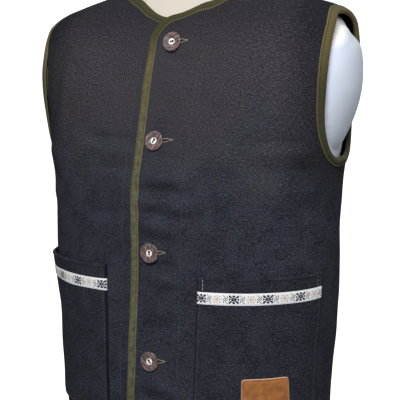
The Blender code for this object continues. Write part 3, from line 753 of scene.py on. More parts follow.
def front_edge(heights):
    """Run from the shoulder along the neckline, round the neck corner and down the front edge.

    The lower part has a place at each of the heights, which end below the armhole.
    """
    corner = FRONT_NECK_HEIGHT - NECK_CORNER_RADIUS
    neck_angles = np.linspace(-math.pi / 2, 0.0, 2001)
    neck_heights = neckline_height(neck_angles)
    neck_across = torso_point(neck_angles, neck_heights)[:, 0]
    join = np.searchsorted(neck_across, edge_across(corner) + NECK_CORNER_RADIUS)
    slope = np.gradient(neck_heights)[join] / np.gradient(neck_across)[join]
    curve = neck_corner(neck_across[join], neck_heights[join], slope)
    rising = np.linspace(heights[-1], corner, 200)
    rising = placed(np.concatenate([edge_across(rising), curve[:, 0]]),
                    np.concatenate([rising, curve[:, 1]]))
    middle = len(rising) - 30
    neck = np.stack([neck_angles, neck_heights], axis=-1)[join + 1:]
    neck = np.concatenate([rising[middle - 1:], neck])
    lower = placed(edge_across(heights), heights)
    upper = resampled(rising[:middle], UPPER_ROWS, EDGE_SPREAD)
    neckline = resampled(neck, NECK_COLUMNS, NECK_SPREAD)
    return np.concatenate([lower, upper[1:], neckline[1:]])[::-1]


def lay_out():
    """Lay out the borders and grids of the left front and of the back.

    Each panel is a main grid and a strip of its own for every bound edge.
    """
    loop = armhole_loop()
    armhole = border(loop, closed=True)
    armhole_front = armhole[:UPPER_ROWS + 1]
    armhole_back = np.concatenate([armhole[UPPER_ROWS:], armhole[:1]])
    heights = np.linspace(HEM_HEIGHT, armhole_front[0, 0, 1], LOWER_ROWS + 1)
    edge_path = front_edge(heights)
    neck_angles = np.linspace(math.pi, 0.0, 600)
    neck_path = np.stack([neck_angles, neckline_height(neck_angles)], axis=-1)
    neck_path = resampled(neck_path, BACK_NECK_COLUMNS)
    return {"front": lay_out_front(heights, border(edge_path), armhole_front),
            "back": lay_out_back(heights, border(neck_path), armhole_back),
            "edge": edge_path, "neck": neck_path, "loop": loop}


def lay_out_front(heights, edge, armhole):
    """Lay plain rows from the edge to the side seam, and a Coons patch above them."""
    inner_edge = edge[::-1, 0]
    corner_row = LOWER_ROWS + UPPER_ROWS
    columns = NECK_COLUMNS + SHOULDER_COLUMNS
    rows = [row_between(start, (0.0, height), columns, SIDE_SPREAD)
            for start, height in zip(inner_edge, heights)]
    seam = row_between((0.0, inner_edge[-1, 1]), (0.0, armhole[-1, 0, 1]),
                       SHOULDER_COLUMNS, SHOULDER_SPREAD)
    top = np.concatenate([inner_edge[corner_row:], seam[1:]])
    upper = coons(rows[-1], top, inner_edge[LOWER_ROWS:corner_row + 1], armhole[:, 0],
                  1.0, ARMHOLE_FADE)
    return [np.concatenate([np.stack(rows), upper[1:]]), edge, armhole]


def lay_out_back(heights, neck, armhole):
    """Lay plain rows from seam to seam, and a Coons patch above them."""
    half_columns = SHOULDER_COLUMNS + BACK_NECK_COLUMNS // 2
    rows = []
    for height in heights:
        half = row_between((0.0, height), (math.pi / 2, height), half_columns, 1 / SIDE_SPREAD)
        rows.append(np.concatenate([half, other_side(half[-2::-1])]))
    seam = row_between((0.0, armhole[0, 0, 1]), (0.0, neck[-1, 0, 1]),
                       SHOULDER_COLUMNS, 1 / SHOULDER_SPREAD)
    top = np.concatenate([seam, neck[-2:0:-1, 0], other_side(seam[::-1])])
    start = armhole[::-1, 0]
    upper = coons(rows[-1], top, start, other_side(start), 1.0, 1.0)
    return [np.concatenate([np.stack(rows), upper[1:]]), neck, armhole, other_side(armhole)]


def parted(places, amount):
    """Move the places that stand on a seam line away from it, over their own panel."""
    result = places.copy()
    step = amount / torso_column("half_width", places[..., 1])
    on_left = np.abs(places[..., 0]) < TINY
    on_right = np.abs(places[..., 0] - math.pi) < TINY
    result[..., 0] += np.where(on_left, step, 0.0) - np.where(on_right, step, 0.0)
    return result


# --- Shader maths ---

class Reading:
    """A material's socket, on which plain arithmetic adds Math nodes."""

    def __init__(self, finish, socket):
        self.finish = finish
        self.socket = socket

    def __add__(self, other):
        return self.finish.maths("ADD", self, other)

    def __sub__(self, other):
        return self.finish.maths("SUBTRACT", self, other)

    def __rsub__(self, other):
        return self.finish.maths("SUBTRACT", other, self)

    def __mul__(self, other):
        return self.finish.maths("MULTIPLY", self, other)

    def __abs__(self):
        return self.finish.maths("ABSOLUTE", self)

    __radd__ = __add__
    __rmul__ = __mul__


class Finish:
    """A material in the making, with one Principled shader."""

    def __init__(self, name, **constants):
        self.material = bpy.data.materials.new(name)
        self.material.use_nodes = True
        self.tree = self.material.node_tree
        self.shader = self.tree.nodes["Principled BSDF"]
        for socket, value in constants.items():
            self.shader.inputs[socket.replace("_", " ")].default_value = value

    def node(self, kind, settings=None, inputs=None, output=0):
        """Add a node: its settings first, then the values or links of its sockets."""
        made = self.tree.nodes.new(kind)
        for name, value in (settings or {}).items():
            if name == "stops":
                self.set_stops(made.color_ramp, value)
            else:
                setattr(made, name, value)
        for name, value in (inputs or {}).items():
            self.feed(made.inputs[name], value)
        return Reading(self, made.outputs[output])

    def set_stops(self, ramp, stops):
        """Give a colour ramp its stops, each a place and a grey or a colour."""
        while len(ramp.elements) < len(stops):
            ramp.elements.new(0.5)
        for element, (place, value) in zip(ramp.elements, stops):
            element.position = place
            colour = (value, value, value) if isinstance(value, float) else value
            element.color = (*colour, 1.0)

    def feed(self, socket, value):
        """Link a reading to a socket, or set the socket's own value."""
        if isinstance(value, Reading):
            self.tree.links.new(value.socket, socket)
        elif socket.type == "RGBA":
            socket.default_value = (*value[:3], 1.0)
        else:
            socket.default_value = value

    def maths(self, operation, *values):
        return self.node("ShaderNodeMath", {"operation": operation}, dict(enumerate(values)))

    def place(self, output="Object"):
        return self.node("ShaderNodeTexCoord", output=output)

    def weight(self, name, output="Fac"):
        """Read a named weight or colour of the mesh."""
        return self.node("ShaderNodeAttribute", {"attribute_name": name}, output=output)

    def scaled(self, vector, scale, turn=(0.0, 0.0, 0.0)):
        return self.node("ShaderNodeMapping", None,
                         {"Vector": vector, "Scale": scale, "Rotation": turn})

    def noise(self, scale, detail=2.0, rough=0.5, vector=None):
        """Read a noise from 0 to 1, about 1 / scale metres a lump."""
        return self.node("ShaderNodeTexNoise", None, {
            "Vector": vector or self.place(), "Scale": scale, "Detail": detail,
            "Roughness": rough})

    def ramp(self, value, stops):
        return self.node("ShaderNodeValToRGB", {"stops": stops}, {"Fac": value})

    def step(self, value, low, high):
        """Rise from 0 to 1 between two readings, with level ends."""
        return self.node("ShaderNodeMapRange", {"interpolation_type": "SMOOTHSTEP"},
                         {"Value": value, "From Min": low, "From Max": high})

    def mixed(self, factor, first, second):
        """Mix two colours by a factor."""
        return self.node("ShaderNodeMix", {"data_type": "RGBA"},
                         {0: factor, 6: first, 7: second}, output=2)

    def parts(self, vector):
        """Split a vector into its three readings."""
        return [self.node("ShaderNodeSeparateXYZ", None, {0: vector}, output=axis)
                for axis in range(3)]

    def ribs(self, value, pitch):
        """Rise and fall from 0 to 1 once in each pitch, by a sine."""
        return self.maths("SINE", value * (2.0 * math.pi / pitch)) * 0.5 + 0.5

    def bump(self, height, distance, strength=1.0, normal=None):
        """Turn a height from 0 to 1 into a bent normal."""
        inputs = {"Height": height, "Distance": distance, "Strength": strength}
        if normal:
            inputs["Normal"] = normal
        return self.node("ShaderNodeBump", None, inputs)

    def done(self, **varying):
        """Feed the varying channels and hand over the material."""
        for name, value in varying.items():
            self.feed(self.shader.inputs[name.replace("_", " ")], value)
        return self.material


def dimmed(colour, share):
    """Scale a colour by a share."""
    return tuple(value * share for value in colour)


def wool_finish(look, name="melange_wool", shade=0.0):
    """Dark melange wool: blue-grey and brown fibres, pale flecks, a twill and a nap.

    It has painted warm light from the chest up, and painted shade at the shoulders
    and by the armholes. A shaded wool has painted shade all over, and a painted
    shadow line along its weighted edges.
    """
    cloth = Finish(name, Specular_IOR_Level=0.10)
    sideways, _, height = cloth.parts(cloth.place())
    mottle = cloth.noise(look.mottle_scale, 4.0, 0.62)
    dyed = cloth.mixed(cloth.step(mottle, 0.38, 0.62), look.wool_dark, look.wool_light)
    # Painted warm light: a lighter, warmer tone from the chest up.
    uneven = height + (cloth.noise(14.0, 3.0, 0.6) - 0.5) * 0.34
    warmed = cloth.mixed(cloth.step(uneven, 0.39, 0.57) * 0.85, dyed, look.wool_painted_warm_light)
    hue = cloth.noise(look.fleck_scale * 0.30, 4.0, 0.75)
    spun = cloth.mixed(cloth.step(hue, 0.42, 0.60) * 0.60, warmed, look.wool_brown)
    # Painted shade: darker wool at the shoulders and by the armholes, and all over a shaded
    # pocket.
    shade_at_shoulders = cloth.step(height, 0.600, 0.655) * 0.60
    shade_by_armholes = cloth.step(abs(sideways), 0.142, 0.195) * cloth.step(height, 0.40, 0.48) * 0.85
    painted_shade = shade_at_shoulders + shade_by_armholes + shade
    shaded = cloth.mixed(painted_shade, spun, PAINTED_SHADE_WOOL)
    flat = cloth.place("UV")
    warp = cloth.noise(look.fleck_scale, 3.0, 0.75, cloth.scaled(flat, (1.0, 0.55, 1.0)))
    weft = cloth.noise(look.fleck_scale, 3.0, 0.75, cloth.scaled(flat, (0.55, 1.0, 1.0)))
    fibre = warp * 0.5 + weft * 0.5
    fleck = cloth.step(fibre, 0.515, 0.62) * (0.72 - painted_shade * 0.40)
    dark_fleck = cloth.step(1.0 - fibre, 0.505, 0.61) * 0.80
    base = cloth.mixed(dark_fleck, cloth.mixed(fleck, shaded, look.fleck), DARK_FIBRE)
    # Painted shadow line along a pocket's weighted edges.
    if shade:
        base = cloth.mixed(cloth.weight("edge") * 0.85, base, PAINTED_EDGE_SHADOW)
    across, along, _ = cloth.parts(flat)
    twill = cloth.ribs(across + along, look.twill_pitch)
    fuzz = cloth.noise(900.0, 4.0, 0.65)
    normal = cloth.bump(twill * 0.30 + fuzz * 0.70, 0.00035, 0.80)
    normal = cloth.bump(cloth.noise(260.0, 3.0, 0.6), 0.0008, 0.30, normal)
    return cloth.done(Base_Color=base, Roughness=0.88 + fibre * 0.10, Normal=normal)


def binding_finish(look):
    """Olive braid: herringbone ribs with painted shade between them, golden higher at
    the sides, and dark green painted shade at the neck and under the arms.

    A pale painted highlight runs along the raised inner rim, and painted shade
    darkens the sewn groove beside it.
    """
    braid = Finish("olive_braid", Sheen_Weight=0.05, Specular_IOR_Level=0.18)
    along, around, _ = braid.parts(braid.place("UV"))
    zigzag = braid.maths("PINGPONG", around, BRAID_ZIGZAG)
    rib = braid.ribs(along + zigzag * 0.3, BRAID_RIB)
    mottle = braid.noise(170.0, 3.0, 0.6)
    tone = braid.mixed(braid.step(mottle, 0.3, 0.7), look.binding_dark, look.binding_light)
    across, _, height = braid.parts(braid.place())
    outwards = braid.step(abs(across), 0.10, 0.15)
    upper = braid.step(height, 0.48, 0.60) * (0.55 + outwards * 0.25)
    golden = braid.mixed(upper, tone, look.binding_gold)
    # Painted shade: dark green braid under the arms and at the neck.
    shade_under_arm = (1.0 - braid.step(height, 0.55, 0.62)) * outwards * 0.85
    shade_at_neck = braid.step(height, 0.585, 0.635) * (1.0 - outwards) * 0.8
    green = braid.mixed(shade_under_arm + shade_at_neck, golden, look.binding_shade_green)
    # Painted highlight along the raised inner rim.
    rim = 1.0 - braid.step(around, 0.0020, 0.0030)
    # Painted shade in the sewn groove beside the rim.
    sewn = braid.step(around, 0.0026, 0.0034) * (1.0 - braid.step(around, 0.0040, 0.0048))
    rimmed = braid.mixed(rim * 0.30, green, look.binding_rim_highlight)
    lined = braid.mixed(sewn * 0.30, rimmed, SEWN_GROOVE_SHADE)
    # Painted shade in the grooves between the ribs.
    base = braid.mixed((1.0 - rib) * 0.50, lined, BRAID_GROOVE_SHADE)
    normal = braid.bump(rib * 0.8 + mottle * 0.2, 0.0005, 0.8)
    return braid.done(Base_Color=base, Roughness=0.80 + rib * 0.08, Normal=normal)


def ribbon_finish():
    """Woven ribbon: its charted threads, ribbed float by float."""
    ribbon = Finish("woven_star_ribbon", Sheen_Weight=0.08, Specular_IOR_Level=0.30)
    across, along, _ = ribbon.parts(ribbon.place("UV"))
    warp = ribbon.ribs(across, RIBBON_CELL * 0.5)
    weft = ribbon.ribs(along, RIBBON_CELL * 0.5)
    wear = ribbon.noise(420.0, 3.0, 0.6)
    thread = ribbon.weight("thread", "Color")
    # Real wear, and painted shade in the gaps between the threads.
    base = ribbon.mixed((1.0 - warp) * 0.06 + wear * 0.06, thread, RIBBON_WEAR_AND_GAP_SHADE)
    normal = ribbon.bump(warp * 0.5 + weft * 0.5, 0.0003, 0.6)
    return ribbon.done(Base_Color=base, Roughness=0.66 + wear * 0.16, Normal=normal)


def leather_finish(look):
    """Tan leather: pebbled grain, rubbed patches and pale raw edges."""
    hide = Finish("tan_leather", Specular_IOR_Level=0.40, Coat_Roughness=0.45)
    mottle = hide.noise(110.0, 5.0, 0.62)
    grain = hide.node("ShaderNodeTexVoronoi", None, {"Vector": hide.place(), "Scale": 1100.0})
    tone = hide.mixed(hide.step(mottle, 0.28, 0.72), look.leather_dark, look.leather_light)
    raw = hide.step(hide.weight("edge"), 0.50, 0.95) * 0.80
    rubbed = hide.mixed(raw, tone, look.leather_edge)
    base = hide.mixed(hide.step(grain, 0.5, 0.9) * 0.25, rubbed, LEATHER_PORE)
    normal = hide.bump(1.0 - grain, 0.00022, 0.5)
    normal = hide.bump(mottle, 0.0008, 0.35, normal)
    return hide.done(Base_Color=base, Roughness=0.46 + mottle * 0.22, Normal=normal)


def horn_finish(look):
    """Polished brown horn with slanting pale and dark streaks."""
    horn = Finish("streaked_horn", Specular_IOR_Level=0.45, Coat_Weight=0.15, Coat_Roughness=0.20)
    local = horn.place("UV")
    streaks = horn.noise(1.0, 4.0, 0.6, horn.scaled(local, (130.0, 620.0, 1.0), (0.0, 0.0, 0.7)))
    cloud = horn.noise(330.0, 3.0, 0.5)
    tone = horn.ramp(streaks, ((0.34, look.horn_dark), (0.50, look.horn), (0.62, look.horn_pale)))
    base = horn.mixed(horn.step(cloud, 0.45, 0.75) * 0.35, tone, look.horn_dark)
    normal = horn.bump(streaks, 0.00012, 0.3)
    return horn.done(Base_Color=base, Roughness=0.34 + cloud * 0.20, Normal=normal)


def pearl_finish(look):
    """Pale shell, clouded, and dark down inside the thread holes."""
    pearl = Finish("pale_shell", Specular_IOR_Level=0.60, Coat_Weight=0.3, Coat_Roughness=0.12)
    cloud = pearl.noise(620.0, 3.0, 0.6)
    tone = pearl.mixed(cloud, look.pearl, SHELL_CLOUD)
    base = pearl.mixed(pearl.step(pearl.weight("hollow"), 0.15, 0.6), tone, THREAD_HOLE)
    normal = pearl.bump(cloud, 0.0001, 0.3)
    return pearl.done(Base_Color=base, Roughness=0.24 + cloud * 0.15, Normal=normal)


def thread_finish(name, colour):
    """Twisted sewing thread."""
    thread = Finish(name, Specular_IOR_Level=0.35, Sheen_Weight=0.1)
    ply = thread.noise(2400.0, 2.0, 0.6)
    base = thread.mixed(ply * 0.6, colour, dimmed(colour, 0.45))
    normal = thread.bump(ply, 0.0002, 0.6)
    return thread.done(Base_Color=base, Roughness=0.62 + ply * 0.2, Normal=normal)


def jersey_finish(look):
    """Form cover: fine knit, creamy on the neck and cooler on the arm caps.

    Their tops have a warm painted highlight above the fold.
    """
    knit = Finish("form_jersey", Sheen_Weight=0.10, Specular_IOR_Level=0.25)
    cloud = knit.noise(38.0, 4.0, 0.55)
    cream = knit.mixed(cloud, look.form_cream, dimmed(look.form_cream, 0.92))
    cap = knit.mixed(cloud, look.form_cap, dimmed(look.form_cap, 0.90))
    across, depth, height = knit.parts(knit.place())
    # Painted highlight: warm white on the caps' tops above the fold.
    turned = knit.step(height - (depth + 0.03) * CAP_FOLD_SLANT, 0.594, 0.606)
    base = knit.mixed(knit.weight("cap"), cream, knit.mixed(turned * 0.75, cap, CAP_TOP_HIGHLIGHT))
    courses = knit.ribs(height, KNIT_PITCH)
    wales = knit.ribs(across + depth, KNIT_PITCH)
    normal = knit.bump(courses * 0.5 + wales * 0.5, 0.0002, 0.45)
    normal = knit.bump(knit.noise(70.0, 3.0, 0.6), 0.001, 0.25, normal)
    return knit.done(Base_Color=base, Roughness=0.74 + cloud * 0.12, Normal=normal)


# --- Meshes ---

def grid_quads(rows, columns, closed_rows=False, closed_columns=False):
    """Join a grid of points into quads, closing either way round if asked."""
    index = np.arange(rows * columns).reshape(rows, columns)
    if closed_rows:
        index = np.concatenate([index, index[:1]])
    if closed_columns:
        index = np.concatenate([index, index[:, :1]], axis=1)
    corners = (index[:-1, :-1], index[:-1, 1:], index[1:, 1:], index[1:, :-1])
    return np.stack(corners, axis=-1).reshape(-1, 4)


def rim_of(quads, count):
    """Find the open sides of a sheet: those that no neighbour runs the other way."""
    sides = np.concatenate([quads[:, [corner, (corner + 1) % 4]] for corner in range(4)])
    codes = sides[:, 0] * count + sides[:, 1]
    return sides[~np.isin(codes, sides[:, 1] * count + sides[:, 0])]


def shell(outer, inner, quads):
    """Close the space between two faces of a sheet, given as matching points."""
    outer, inner = outer.reshape(-1, 3), inner.reshape(-1, 3)
    count = len(outer)
    rim = rim_of(quads, count)
    edges = np.stack([rim[:, 1], rim[:, 0], rim[:, 0] + count, rim[:, 1] + count], axis=-1)
    return np.concatenate([outer, inner]), np.concatenate([quads, quads[:, ::-1] + count, edges])


def capped_faces(rings, turns):
    """Join rings of points by quads, and fan each end to a tip.

    The tip before the first ring is the point after the last ring, and the
    tip beyond the last ring is the next one.
    """
    quads = grid_quads(rings, turns, closed_columns=True)
    ring = np.arange(turns)
    onward = np.roll(ring, -1)
    last = (rings - 1) * turns
    tip = np.full(turns, rings * turns)
    start = np.stack([onward, ring, tip], axis=-1)
    end = np.stack([ring + last, onward + last, tip + 1], axis=-1)
    return quads, np.concatenate([start, end])


def capped(rings, first_tip, last_tip):
    """Close a stack of rings with a tip at each end."""
    quads, fans = capped_faces(*rings.shape[:2])
    points = np.concatenate([rings.reshape(-1, 3), [first_tip, last_tip]])
    return points, quads.tolist() + fans.tolist()


def twice(values):
    """Repeat a reading of a sheet's outer face for its inner face."""
    return np.concatenate([values, values])


def add_piece(name, points, faces, material, replaced=(), uv=None, weights=None,
              mirror=False, sharp=50.0):
    """Make a piece at the origin that rides on the one body.

    Weights are named readings, one per point. A mirrored piece has its faces turned.
    """
    if mirror:
        points = points * np.array([-1.0, 1.0, 1.0])
        faces = faces[:, ::-1]
    mesh = bpy.data.meshes.new(name)
    mesh.from_pydata(points.tolist(), [], faces if isinstance(faces, list) else faces.tolist())
    mesh.materials.append(material)
    mesh.shade_smooth()
    mesh.set_sharp_from_angle(angle=math.radians(sharp))
    if uv is not None:
        corner_points = np.zeros(len(mesh.loops), dtype=np.int32)
        mesh.loops.foreach_get("vertex_index", corner_points)
        layer = mesh.uv_layers.new(name="UVMap")
        layer.data.foreach_set("uv", uv[corner_points].astype(np.float32).ravel())
    for weight_name, values in (weights or {}).items():
        attribute = mesh.attributes.new(weight_name, "FLOAT", "POINT")
        attribute.data.foreach_set("value", np.asarray(values, dtype=np.float32))
    made = bpy.data.objects.new(name, mesh)
    bpy.context.scene.collection.objects.link(made)
    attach(made, "root")
    if replaced:
        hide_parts(*replaced)
    return made


def tube(centres, normals, radii, sides):
    """Carry a round section along many short lines at once.

    Lines are rows of centres. The section spans the surface normal and the
    way across the line, and a tip closes it at both ends.
    """
    along = np.gradient(centres, axis=1)
    across = unit(np.cross(normals, along))
    turn = full_turn(sides)[:, None]
    ring = np.cos(turn) * across[..., None, :] + np.sin(turn) * normals[..., None, :]
    rings = centres[..., None, :] + radii[..., None, None] * ring
    lines, steps = centres.shape[:2]
    tips = centres[:, [0, -1]]
    points = np.concatenate([rings.reshape(lines, -1, 3), tips], axis=1)
    quads, fans = capped_faces(steps, sides)
    first = points.shape[1] * np.arange(lines)[:, None, None]
    faces = (quads + first).reshape(-1, 4).tolist() + (fans + first).reshape(-1, 3).tolist()
    return points.reshape(-1, 3), faces


def stitched(path, lift_of, stitch, mirror=False, height=0.0):
    """Run stitches along a path of places, each a short capsule that dips into the cloth."""
    pitch, share, radius = stitch
    lengths = lengths_along(path)
    count = max(int(lengths[-1] / pitch), 1)
    knots = 5
    starts = np.arange(count)[:, None] + 0.5 * (1 - share)
    along = (starts + share * np.linspace(0, 1, knots)) / count
    places = places_at(path, lengths / lengths[-1], along)
    arch = np.sin(np.linspace(0, math.pi, knots))
    lift = lift_of(places) + height + radius * (arch - 0.55)
    centres = lifted(places, lift)
    normals = torso_normal(places[..., 0], places[..., 1])
    radii = np.broadcast_to(radius * (0.35 + 0.65 * arch ** 0.5), centres.shape[:2])
    if mirror:
        centres, normals = centres * (-1, 1, 1), normals * (-1, 1, 1)
    return centres, normals, radii


def add_stitches(name, runs, material, sides=6):
    """Join runs of stitches into one piece."""
    parts = (np.concatenate(rows) for rows in zip(*runs))
    points, faces = tube(*parts, sides)
    return add_piece(name, points, faces, material, sharp=180.0)


# --- The pieces ---

LAYOUT = lay_out()
SIDES = ("left", "right")


def lift_for(piece):
    """Give the function that lifts places onto a piece's outer face."""
    return lambda places: cloth_lift(places, piece)


def pocket_lift_for(side):
    """Give the function that lifts places onto a pocket's outer face."""
    return lambda places: pocket_lift(places, side)


def cloth_uv(places):
    """Measure both faces of a cloth in metres: round the body from the side seam, and up."""
    return twice(np.stack([places[..., 0] * 0.2, places[..., 1]], axis=-1).reshape(-1, 2))


def tape_uv(along, around):
    """Measure both faces of a tape in metres: along it, and round its section."""
    return twice(np.stack(np.broadcast_arrays(along, around), axis=-1).reshape(-1, 2))


def add_panel(name, patches, piece, material, reflected=False):
    """Weld a panel's patches along their shared borders and thicken them inwards.

    Points are the torso's, moved out by the cloth's lift, and the inner face
    lies one wall below the outer one. A reflected last patch has its faces turned.
    """
    quads = []
    first = 0
    for patch in patches:
        grid = first + grid_quads(*patch.shape[:2])
        turned_round = reflected and patch is patches[-1]
        quads.append(grid[:, [0, 3, 2, 1]] if turned_round else grid)
        first += patch.shape[0] * patch.shape[1]
    places = np.concatenate([patch.reshape(-1, 2) for patch in patches])
    _, kept, same = np.unique(np.round(places, 9), axis=0, return_index=True, return_inverse=True)
    places = places[kept]
    quads = same.reshape(-1)[np.concatenate(quads)]
    lift = cloth_lift(places, piece)
    points, faces = shell(lifted(places, lift), lifted(places, lift - WALL), quads)
    return add_piece(name + "_cloth", points, faces, material, (name,),
                     cloth_uv(places), mirror=piece == "right")


def binding_profile():
    """Give the wrap's section as (inwards, height) lines, outer face and inner face.

    Over the cloth it starts at a raised rim, dips at the sewn line and swells to
    a rounded crown. It turns round the edge, and under the cloth it lies flat.
    """
    over = (
        (0.01050, 0.0003), (0.01040, 0.0012), (0.00995, 0.0017), (0.00940, 0.0019),
        (0.00885, 0.0017), (0.00845, 0.0011), (0.00815, 0.0009), (0.00775, 0.0012),
        (0.00710, 0.0020), (0.00590, 0.0026), (0.00450, 0.0029), (0.00290, 0.0028),
        (0.00130, 0.0023), (0.00000, 0.0014))
    turned = ((-0.00100, 0.0001), (-0.00140, -0.0011), (-0.00100, -0.0023))
    under = ((0.00000, -0.0032), (0.00150, -0.0035), (0.00520, -0.0035), (0.00920, -0.0034),
             (0.01050, -0.0030))
    outer = np.array(over + turned + under)
    inner_heights = [0.0002] * len(over) + [-0.0004, -0.0010, -0.0017] + [-0.0022] * len(under)
    inner = np.stack([outer[:, 0].clip(-0.0004, BINDING_WIDTH - 0.0002), inner_heights], axis=-1)
    return outer, inner


def add_binding(name, path, piece, material, closed=False, trim=0.0):
    """Carry the wrap's section along a bound edge, over the creased cloth."""
    outer, inner = binding_profile()
    lift_of = armhole_lift if closed else lift_for(piece)

    def faced(profile):
        lines = []
        for inwards, height in profile:
            line = beside(path, inwards, closed)
            line = parted(line, trim) if trim else line
            lines.append(lifted(line, lift_of(line) + height))
        return np.stack(lines, axis=1)

    outside = faced(outer)
    quads = grid_quads(*outside.shape[:2], closed_rows=closed)
    points, faces = shell(outside, faced(inner), quads)
    middle_line = outside[:, 8]
    uv = tape_uv(running_length(middle_line)[:, None], running_length(outer)[None])
    return add_piece(name + "_braid", points, faces, material, (name,), uv,
                     mirror=piece.endswith("right"), sharp=60.0)


def armhole_lift(places):
    """Lift the armhole's binding with the front before the seam and with the back behind it."""
    return np.where(places[..., 0] < 0.0, cloth_lift(places, "left"), cloth_lift(places, "back"))


def pocket_inner(height):
    """Give the pocket's inner edge across the body, which leans in towards the hem."""
    down = (POCKET_TOP - height) / (POCKET_TOP - POCKET_BOTTOM)
    return POCKET_INNER - POCKET_INNER_LEAN * down


def pocket_grid(low, high, rows, columns, side):
    """Lay a grid over a pocket between two heights."""
    grid = []
    for height in np.linspace(low, high, rows + 1):
        risen = height + POCKET_RISE[side]
        inner = surface_angle(pocket_inner(height), risen)
        grid.append(row_between((inner, risen), (POCKET_OUTER_ANGLE, risen), columns))
    return np.stack(grid)


def pocket_lift(places, side):
    """Lift a place onto a pocket: rounded sewn edges, a thicker hem and a mouth that bulges."""
    height = places[..., 1] - POCKET_RISE[side]
    start = surface_angle(pocket_inner(height), places[..., 1])
    across = np.clip((places[..., 0] - start) / (POCKET_OUTER_ANGLE - start), 0.0, 1.0)
    up = np.clip((height - POCKET_BOTTOM) / (POCKET_TOP - POCKET_BOTTOM), 0.0, 1.0)
    from_side = np.minimum(across, 1.0 - across) * POCKET_ACROSS
    from_base = up * (POCKET_TOP - POCKET_BOTTOM)
    from_top = (1.0 - up) * (POCKET_TOP - POCKET_BOTTOM)
    from_sewn = np.minimum(from_side, from_base)
    rounded = rounded_off(np.minimum(from_sewn, from_top * 1.6), POCKET_ROUND)
    hem = POCKET_HEM_RISE * eased((POCKET_HEM - from_top) / POCKET_HEM_SLOPE)
    bulge = np.sin(math.pi * across)
    mouth = POCKET_MOUTH_BULGE * bulge ** 0.7 * up ** 5 + ridge(from_top, POCKET_ROLL)
    sag = np.sin(math.pi * up) ** 2 * np.sin(9.0 * across + 5.0 * up)
    wall = POCKET_GAP + FINISH_GAP + (POCKET_WALL + FINISH_SWELL) * rounded
    return (wall - ridge(from_sewn, POCKET_CHANNEL) + hem + mouth + POCKET_SAG * bulge * sag
            + cloth_lift(places, side))


def ridge(distance, shape):
    """Give the height of a ridge or groove that stands off from a line, as a bell."""
    height, middle, width = shape
    return height * bell(distance - middle, width)


def add_pocket(side, material):
    """Sew on a patch pocket: a shell over its grid, open along its top.

    Its inner face lies on the cloth below, and a wall behind the outer face above.
    """
    grid = pocket_grid(POCKET_BOTTOM, POCKET_TOP, POCKET_ROWS, POCKET_COLUMNS, side)
    lift = pocket_lift(grid, side)
    under = cloth_lift(grid, side) + POCKET_GAP * 0.3
    upper_half = np.linspace(0.0, 1.0, POCKET_ROWS + 1)[:, None] > 0.5
    inner = np.where(upper_half, np.maximum(lift - POCKET_WALL, under), under)
    inner = np.minimum(lift - FINISH_SWELL, inner)
    quads = grid_quads(*grid.shape[:2])
    points, faces = shell(lifted(grid, lift), lifted(grid, inner), quads)
    # The edge weights place a painted shadow line along the pocket's inner and outer edges,
    # strongest at the right pocket's inner edge.
    edge = np.zeros(grid.shape[:2])
    edge[:, :2] = (1.0, 0.5) if side == "right" else (0.3, 0.0)
    edge[:, -1] = 0.8
    return add_piece("pocket_%s_cloth" % side, points, faces, material,
                     ("pocket_" + side,), cloth_uv(grid), mirror=side == "right",
                     weights={"edge": twice(edge.ravel())})


def ribbon_chart(columns, start):
    """Chart the ribbon: star, cross and snowflake in turn, woven on a plain ground."""
    chart = np.full((RIBBON_ROWS, columns), ".")
    half = RIBBON_REPEAT // 2
    motifs = ((STAR, 0), (CROSS, half // 2), (CROSS, half + half // 2), (SNOWFLAKE, half))
    for motif, offset in motifs:
        cells = np.array([list(row) for row in motif])
        top = (RIBBON_ROWS - cells.shape[0]) // 2
        first_middle = start + offset - 2 * RIBBON_REPEAT
        for middle in range(first_middle, columns + RIBBON_REPEAT, RIBBON_REPEAT):
            first = middle - cells.shape[1] // 2
            low, high = max(first, 0), min(first + cells.shape[1], columns)
            if low < high:
                chart[top:top + cells.shape[0], low:high] = cells[:, low - first:high - first]
    return chart


def add_ribbon(side, material, start):
    """Weave the ribbon as a thin strip of cells, one to each charted thread."""
    row = pocket_grid(RIBBON_TOP, RIBBON_TOP, 0, 200, side)[0]
    columns = int(round(lengths_along(row)[-1] / RIBBON_CELL))
    grid = pocket_grid(RIBBON_TOP - RIBBON_WIDTH, RIBBON_TOP, RIBBON_ROWS, columns, side)
    from_middle = np.abs(np.linspace(-1.0, 1.0, RIBBON_ROWS + 1))[:, None]
    lift = pocket_lift(grid, side) + RIBBON_HEIGHT - RIBBON_SELVEDGE_DROP * from_middle ** 6
    quads = grid_quads(*grid.shape[:2])
    points, faces = shell(lifted(grid, lift), lifted(grid, lift - RIBBON_THICKNESS), quads)
    across = np.arange(columns + 1) * RIBBON_CELL
    along = np.arange(RIBBON_ROWS + 1) * RIBBON_WIDTH / RIBBON_ROWS
    made = add_piece("ribbon_%s_weave" % side, points, faces, material,
                     ("ribbon_" + side,), tape_uv(across[None], along[:, None]),
                     mirror=side == "right")
    chart = ribbon_chart(columns, start)[::-1].ravel()
    colours = np.tile((*RIBBON_THREADS["."], 1.0), (len(faces), 1))
    colours[:len(chart), :3] = [RIBBON_THREADS[sign] for sign in chart]
    colours[:columns, :3] *= RIBBON_LOWEST_ROW_TINT
    layer = made.data.color_attributes.new("thread", "FLOAT_COLOR", "CORNER")
    layer.data.foreach_set("color", np.repeat(colours, 4, axis=0).astype(np.float32).ravel())
    return made


